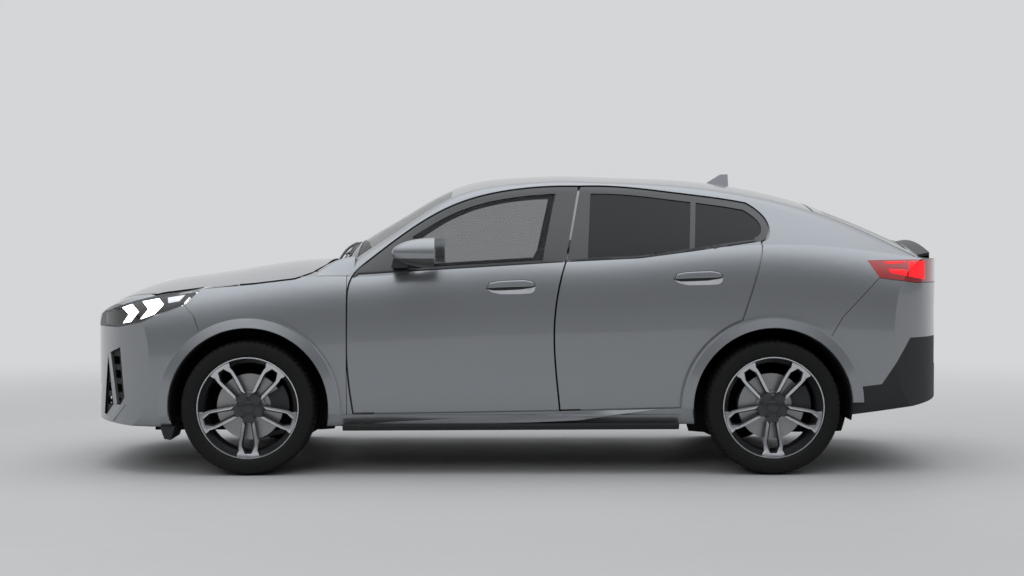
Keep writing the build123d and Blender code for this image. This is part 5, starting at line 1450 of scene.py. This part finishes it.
# Pale floor that sweeps up behind, studio light and the photo's camera
stageLook = {
    "near": -16.0,
    "bend": 9.0,
    "radius": 4.0,
    "top": 14.0,
    "half": 34.0,
    "steps": 16,
    "pale": (0.40, 0.40, 0.40),
    "grey": (0.37, 0.37, 0.37),
    "fadeFrom": 3.2,
    "fadeTo": 9.0,
    "backdrop": (0.66, 0.67, 0.68),
}
lightLook = {
    "worldLow": (0.20, 0.205, 0.21),
    "worldHigh": (2.05, 2.12, 2.20),
    "worldStrength": 0.72,
    "skyFrom": 0.22,
    "skyTo": 0.95,
    "lamps": [  # name, place, size, power and what it points at
        ("overhead", (-0.6, 0.6, 6.5), (8.0, 6.0), 190.0, (-0.3, 0.4, 0.4)),
        ("nearSide", (-3.5, -9.0, 4.6), (6.0, 2.4), 170.0, (0.0, 0.0, 0.7)),
        ("farSide", (3.0, 7.0, 4.5), (5.0, 2.0), 110.0, (0.0, 0.0, 0.8)),
    ],
}
cameraLook = {"place": (-0.134, -9.905, 1.205), "lens": 62.0, "sensor": 36.0, "pitch": 1.56, "yaw": 0.62}


def makeStage():
    look = stageLook
    line = [(look["near"], 0.0), (look["bend"], 0.0)]
    for step in range(1, look["steps"] + 1):
        angle = math.pi / 2 * step / look["steps"]
        line.append((look["bend"] + look["radius"] * math.sin(angle), look["radius"] * (1 - math.cos(angle))))
    line.append((look["bend"] + look["radius"], look["top"]))
    corners = [(x, y, z) for y, z in line for x in (-look["half"], look["half"])]
    faces = [(2 * i, 2 * i + 1, 2 * i + 3, 2 * i + 2) for i in range(len(line) - 1)]
    mesh = bpy.data.meshes.new("paleFloor")
    mesh.from_pydata(corners, [], faces)
    mesh.shade_smooth()
    floor = bpy.data.objects.new("paleFloor", mesh)
    scene.collection.objects.link(floor)
    finish = grainedFinish("paleFloorFinish", {"Specular IOR Level": 0.3}, look["grey"], look["pale"],
                           rough=(0.55, 0.7), grain=6.0, bump=(0.02, 0.001))
    brightenFar(finish.node_tree)
    mesh.materials.append(finish)


# Far from the car the floor and backdrop show an even pale tone, in gloss and glass too
def brightenFar(tree):
    place = objectPlace(tree)
    length = addNode(tree, "ShaderNodeVectorMath", operation="LENGTH")
    tree.links.new(place, length.inputs[0])
    fade = {"From Min": stageLook["fadeFrom"], "From Max": stageLook["fadeTo"]}
    far = addNode(tree, "ShaderNodeMapRange", fade, interpolation_type="SMOOTHSTEP")
    tree.links.new(length.outputs["Value"], far.inputs["Value"])
    rays = addNode(tree, "ShaderNodeLightPath").outputs
    seen = rays["Is Camera Ray"]
    for kind in ("Is Glossy Ray", "Is Transmission Ray"):
        either = addNode(tree, "ShaderNodeMath", operation="MAXIMUM")
        tree.links.new(seen, either.inputs[0])
        tree.links.new(rays[kind], either.inputs[1])
        seen = either.outputs[0]
    both = addNode(tree, "ShaderNodeMath", operation="MULTIPLY")
    tree.links.new(seen, both.inputs[0])
    tree.links.new(far.outputs["Result"], both.inputs[1])
    glow = addNode(tree, "ShaderNodeEmission", {"Color": (*stageLook["backdrop"], 1), "Strength": 1.0})
    blend = addNode(tree, "ShaderNodeMixShader")
    tree.links.new(both.outputs[0], blend.inputs[0])
    tree.links.new(tree.nodes["Principled BSDF"].outputs[0], blend.inputs[1])
    tree.links.new(glow.outputs[0], blend.inputs[2])
    tree.links.new(blend.outputs[0], tree.nodes["Material Output"].inputs["Surface"])


def makeLight():
    look = lightLook
    world = bpy.data.worlds.new("studioSky")
    scene.world = world
    world.use_nodes = True
    tree = world.node_tree
    place = addNode(tree, "ShaderNodeTexCoord").outputs["Generated"]
    parts = addNode(tree, "ShaderNodeSeparateXYZ")
    tree.links.new(place, parts.inputs[0])
    sky = {"From Min": look["skyFrom"], "From Max": look["skyTo"]}
    climb = addNode(tree, "ShaderNodeMapRange", sky, interpolation_type="SMOOTHSTEP")
    tree.links.new(parts.outputs["Z"], climb.inputs["Value"])
    colour = mixColours(tree, climb.outputs["Result"], look["worldLow"], look["worldHigh"])
    background = tree.nodes["Background"]
    tree.links.new(colour, background.inputs["Color"])
    background.inputs["Strength"].default_value = look["worldStrength"]
    for name, spot, size, power, target in look["lamps"]:
        lamp = bpy.data.lights.new(name, "AREA")
        lamp.shape = "RECTANGLE"
        lamp.size, lamp.size_y = size
        lamp.energy = power
        holder = bpy.data.objects.new(name, lamp)
        scene.collection.objects.link(holder)
        holder.location = spot
        holder.visible_glossy = False  # the lacquer mirrors the sky, not the lamps
        holder.rotation_euler = (Vector(target) - Vector(spot)).to_track_quat("-Z", "Y").to_euler()


def makeCamera():
    look = cameraLook
    lens = bpy.data.cameras.new("photoView")
    lens.lens = look["lens"]
    lens.sensor_width = look["sensor"]
    camera = bpy.data.objects.new("photoView", lens)
    scene.collection.objects.link(camera)
    camera.location = look["place"]
    camera.rotation_euler = (math.radians(90 - look["pitch"]), 0, math.radians(-look["yaw"]))
    scene.camera = camera
    scene.view_settings.view_transform = "Standard"


makeStage()
makeLight()
makeCamera()
print("stage, light and camera set")
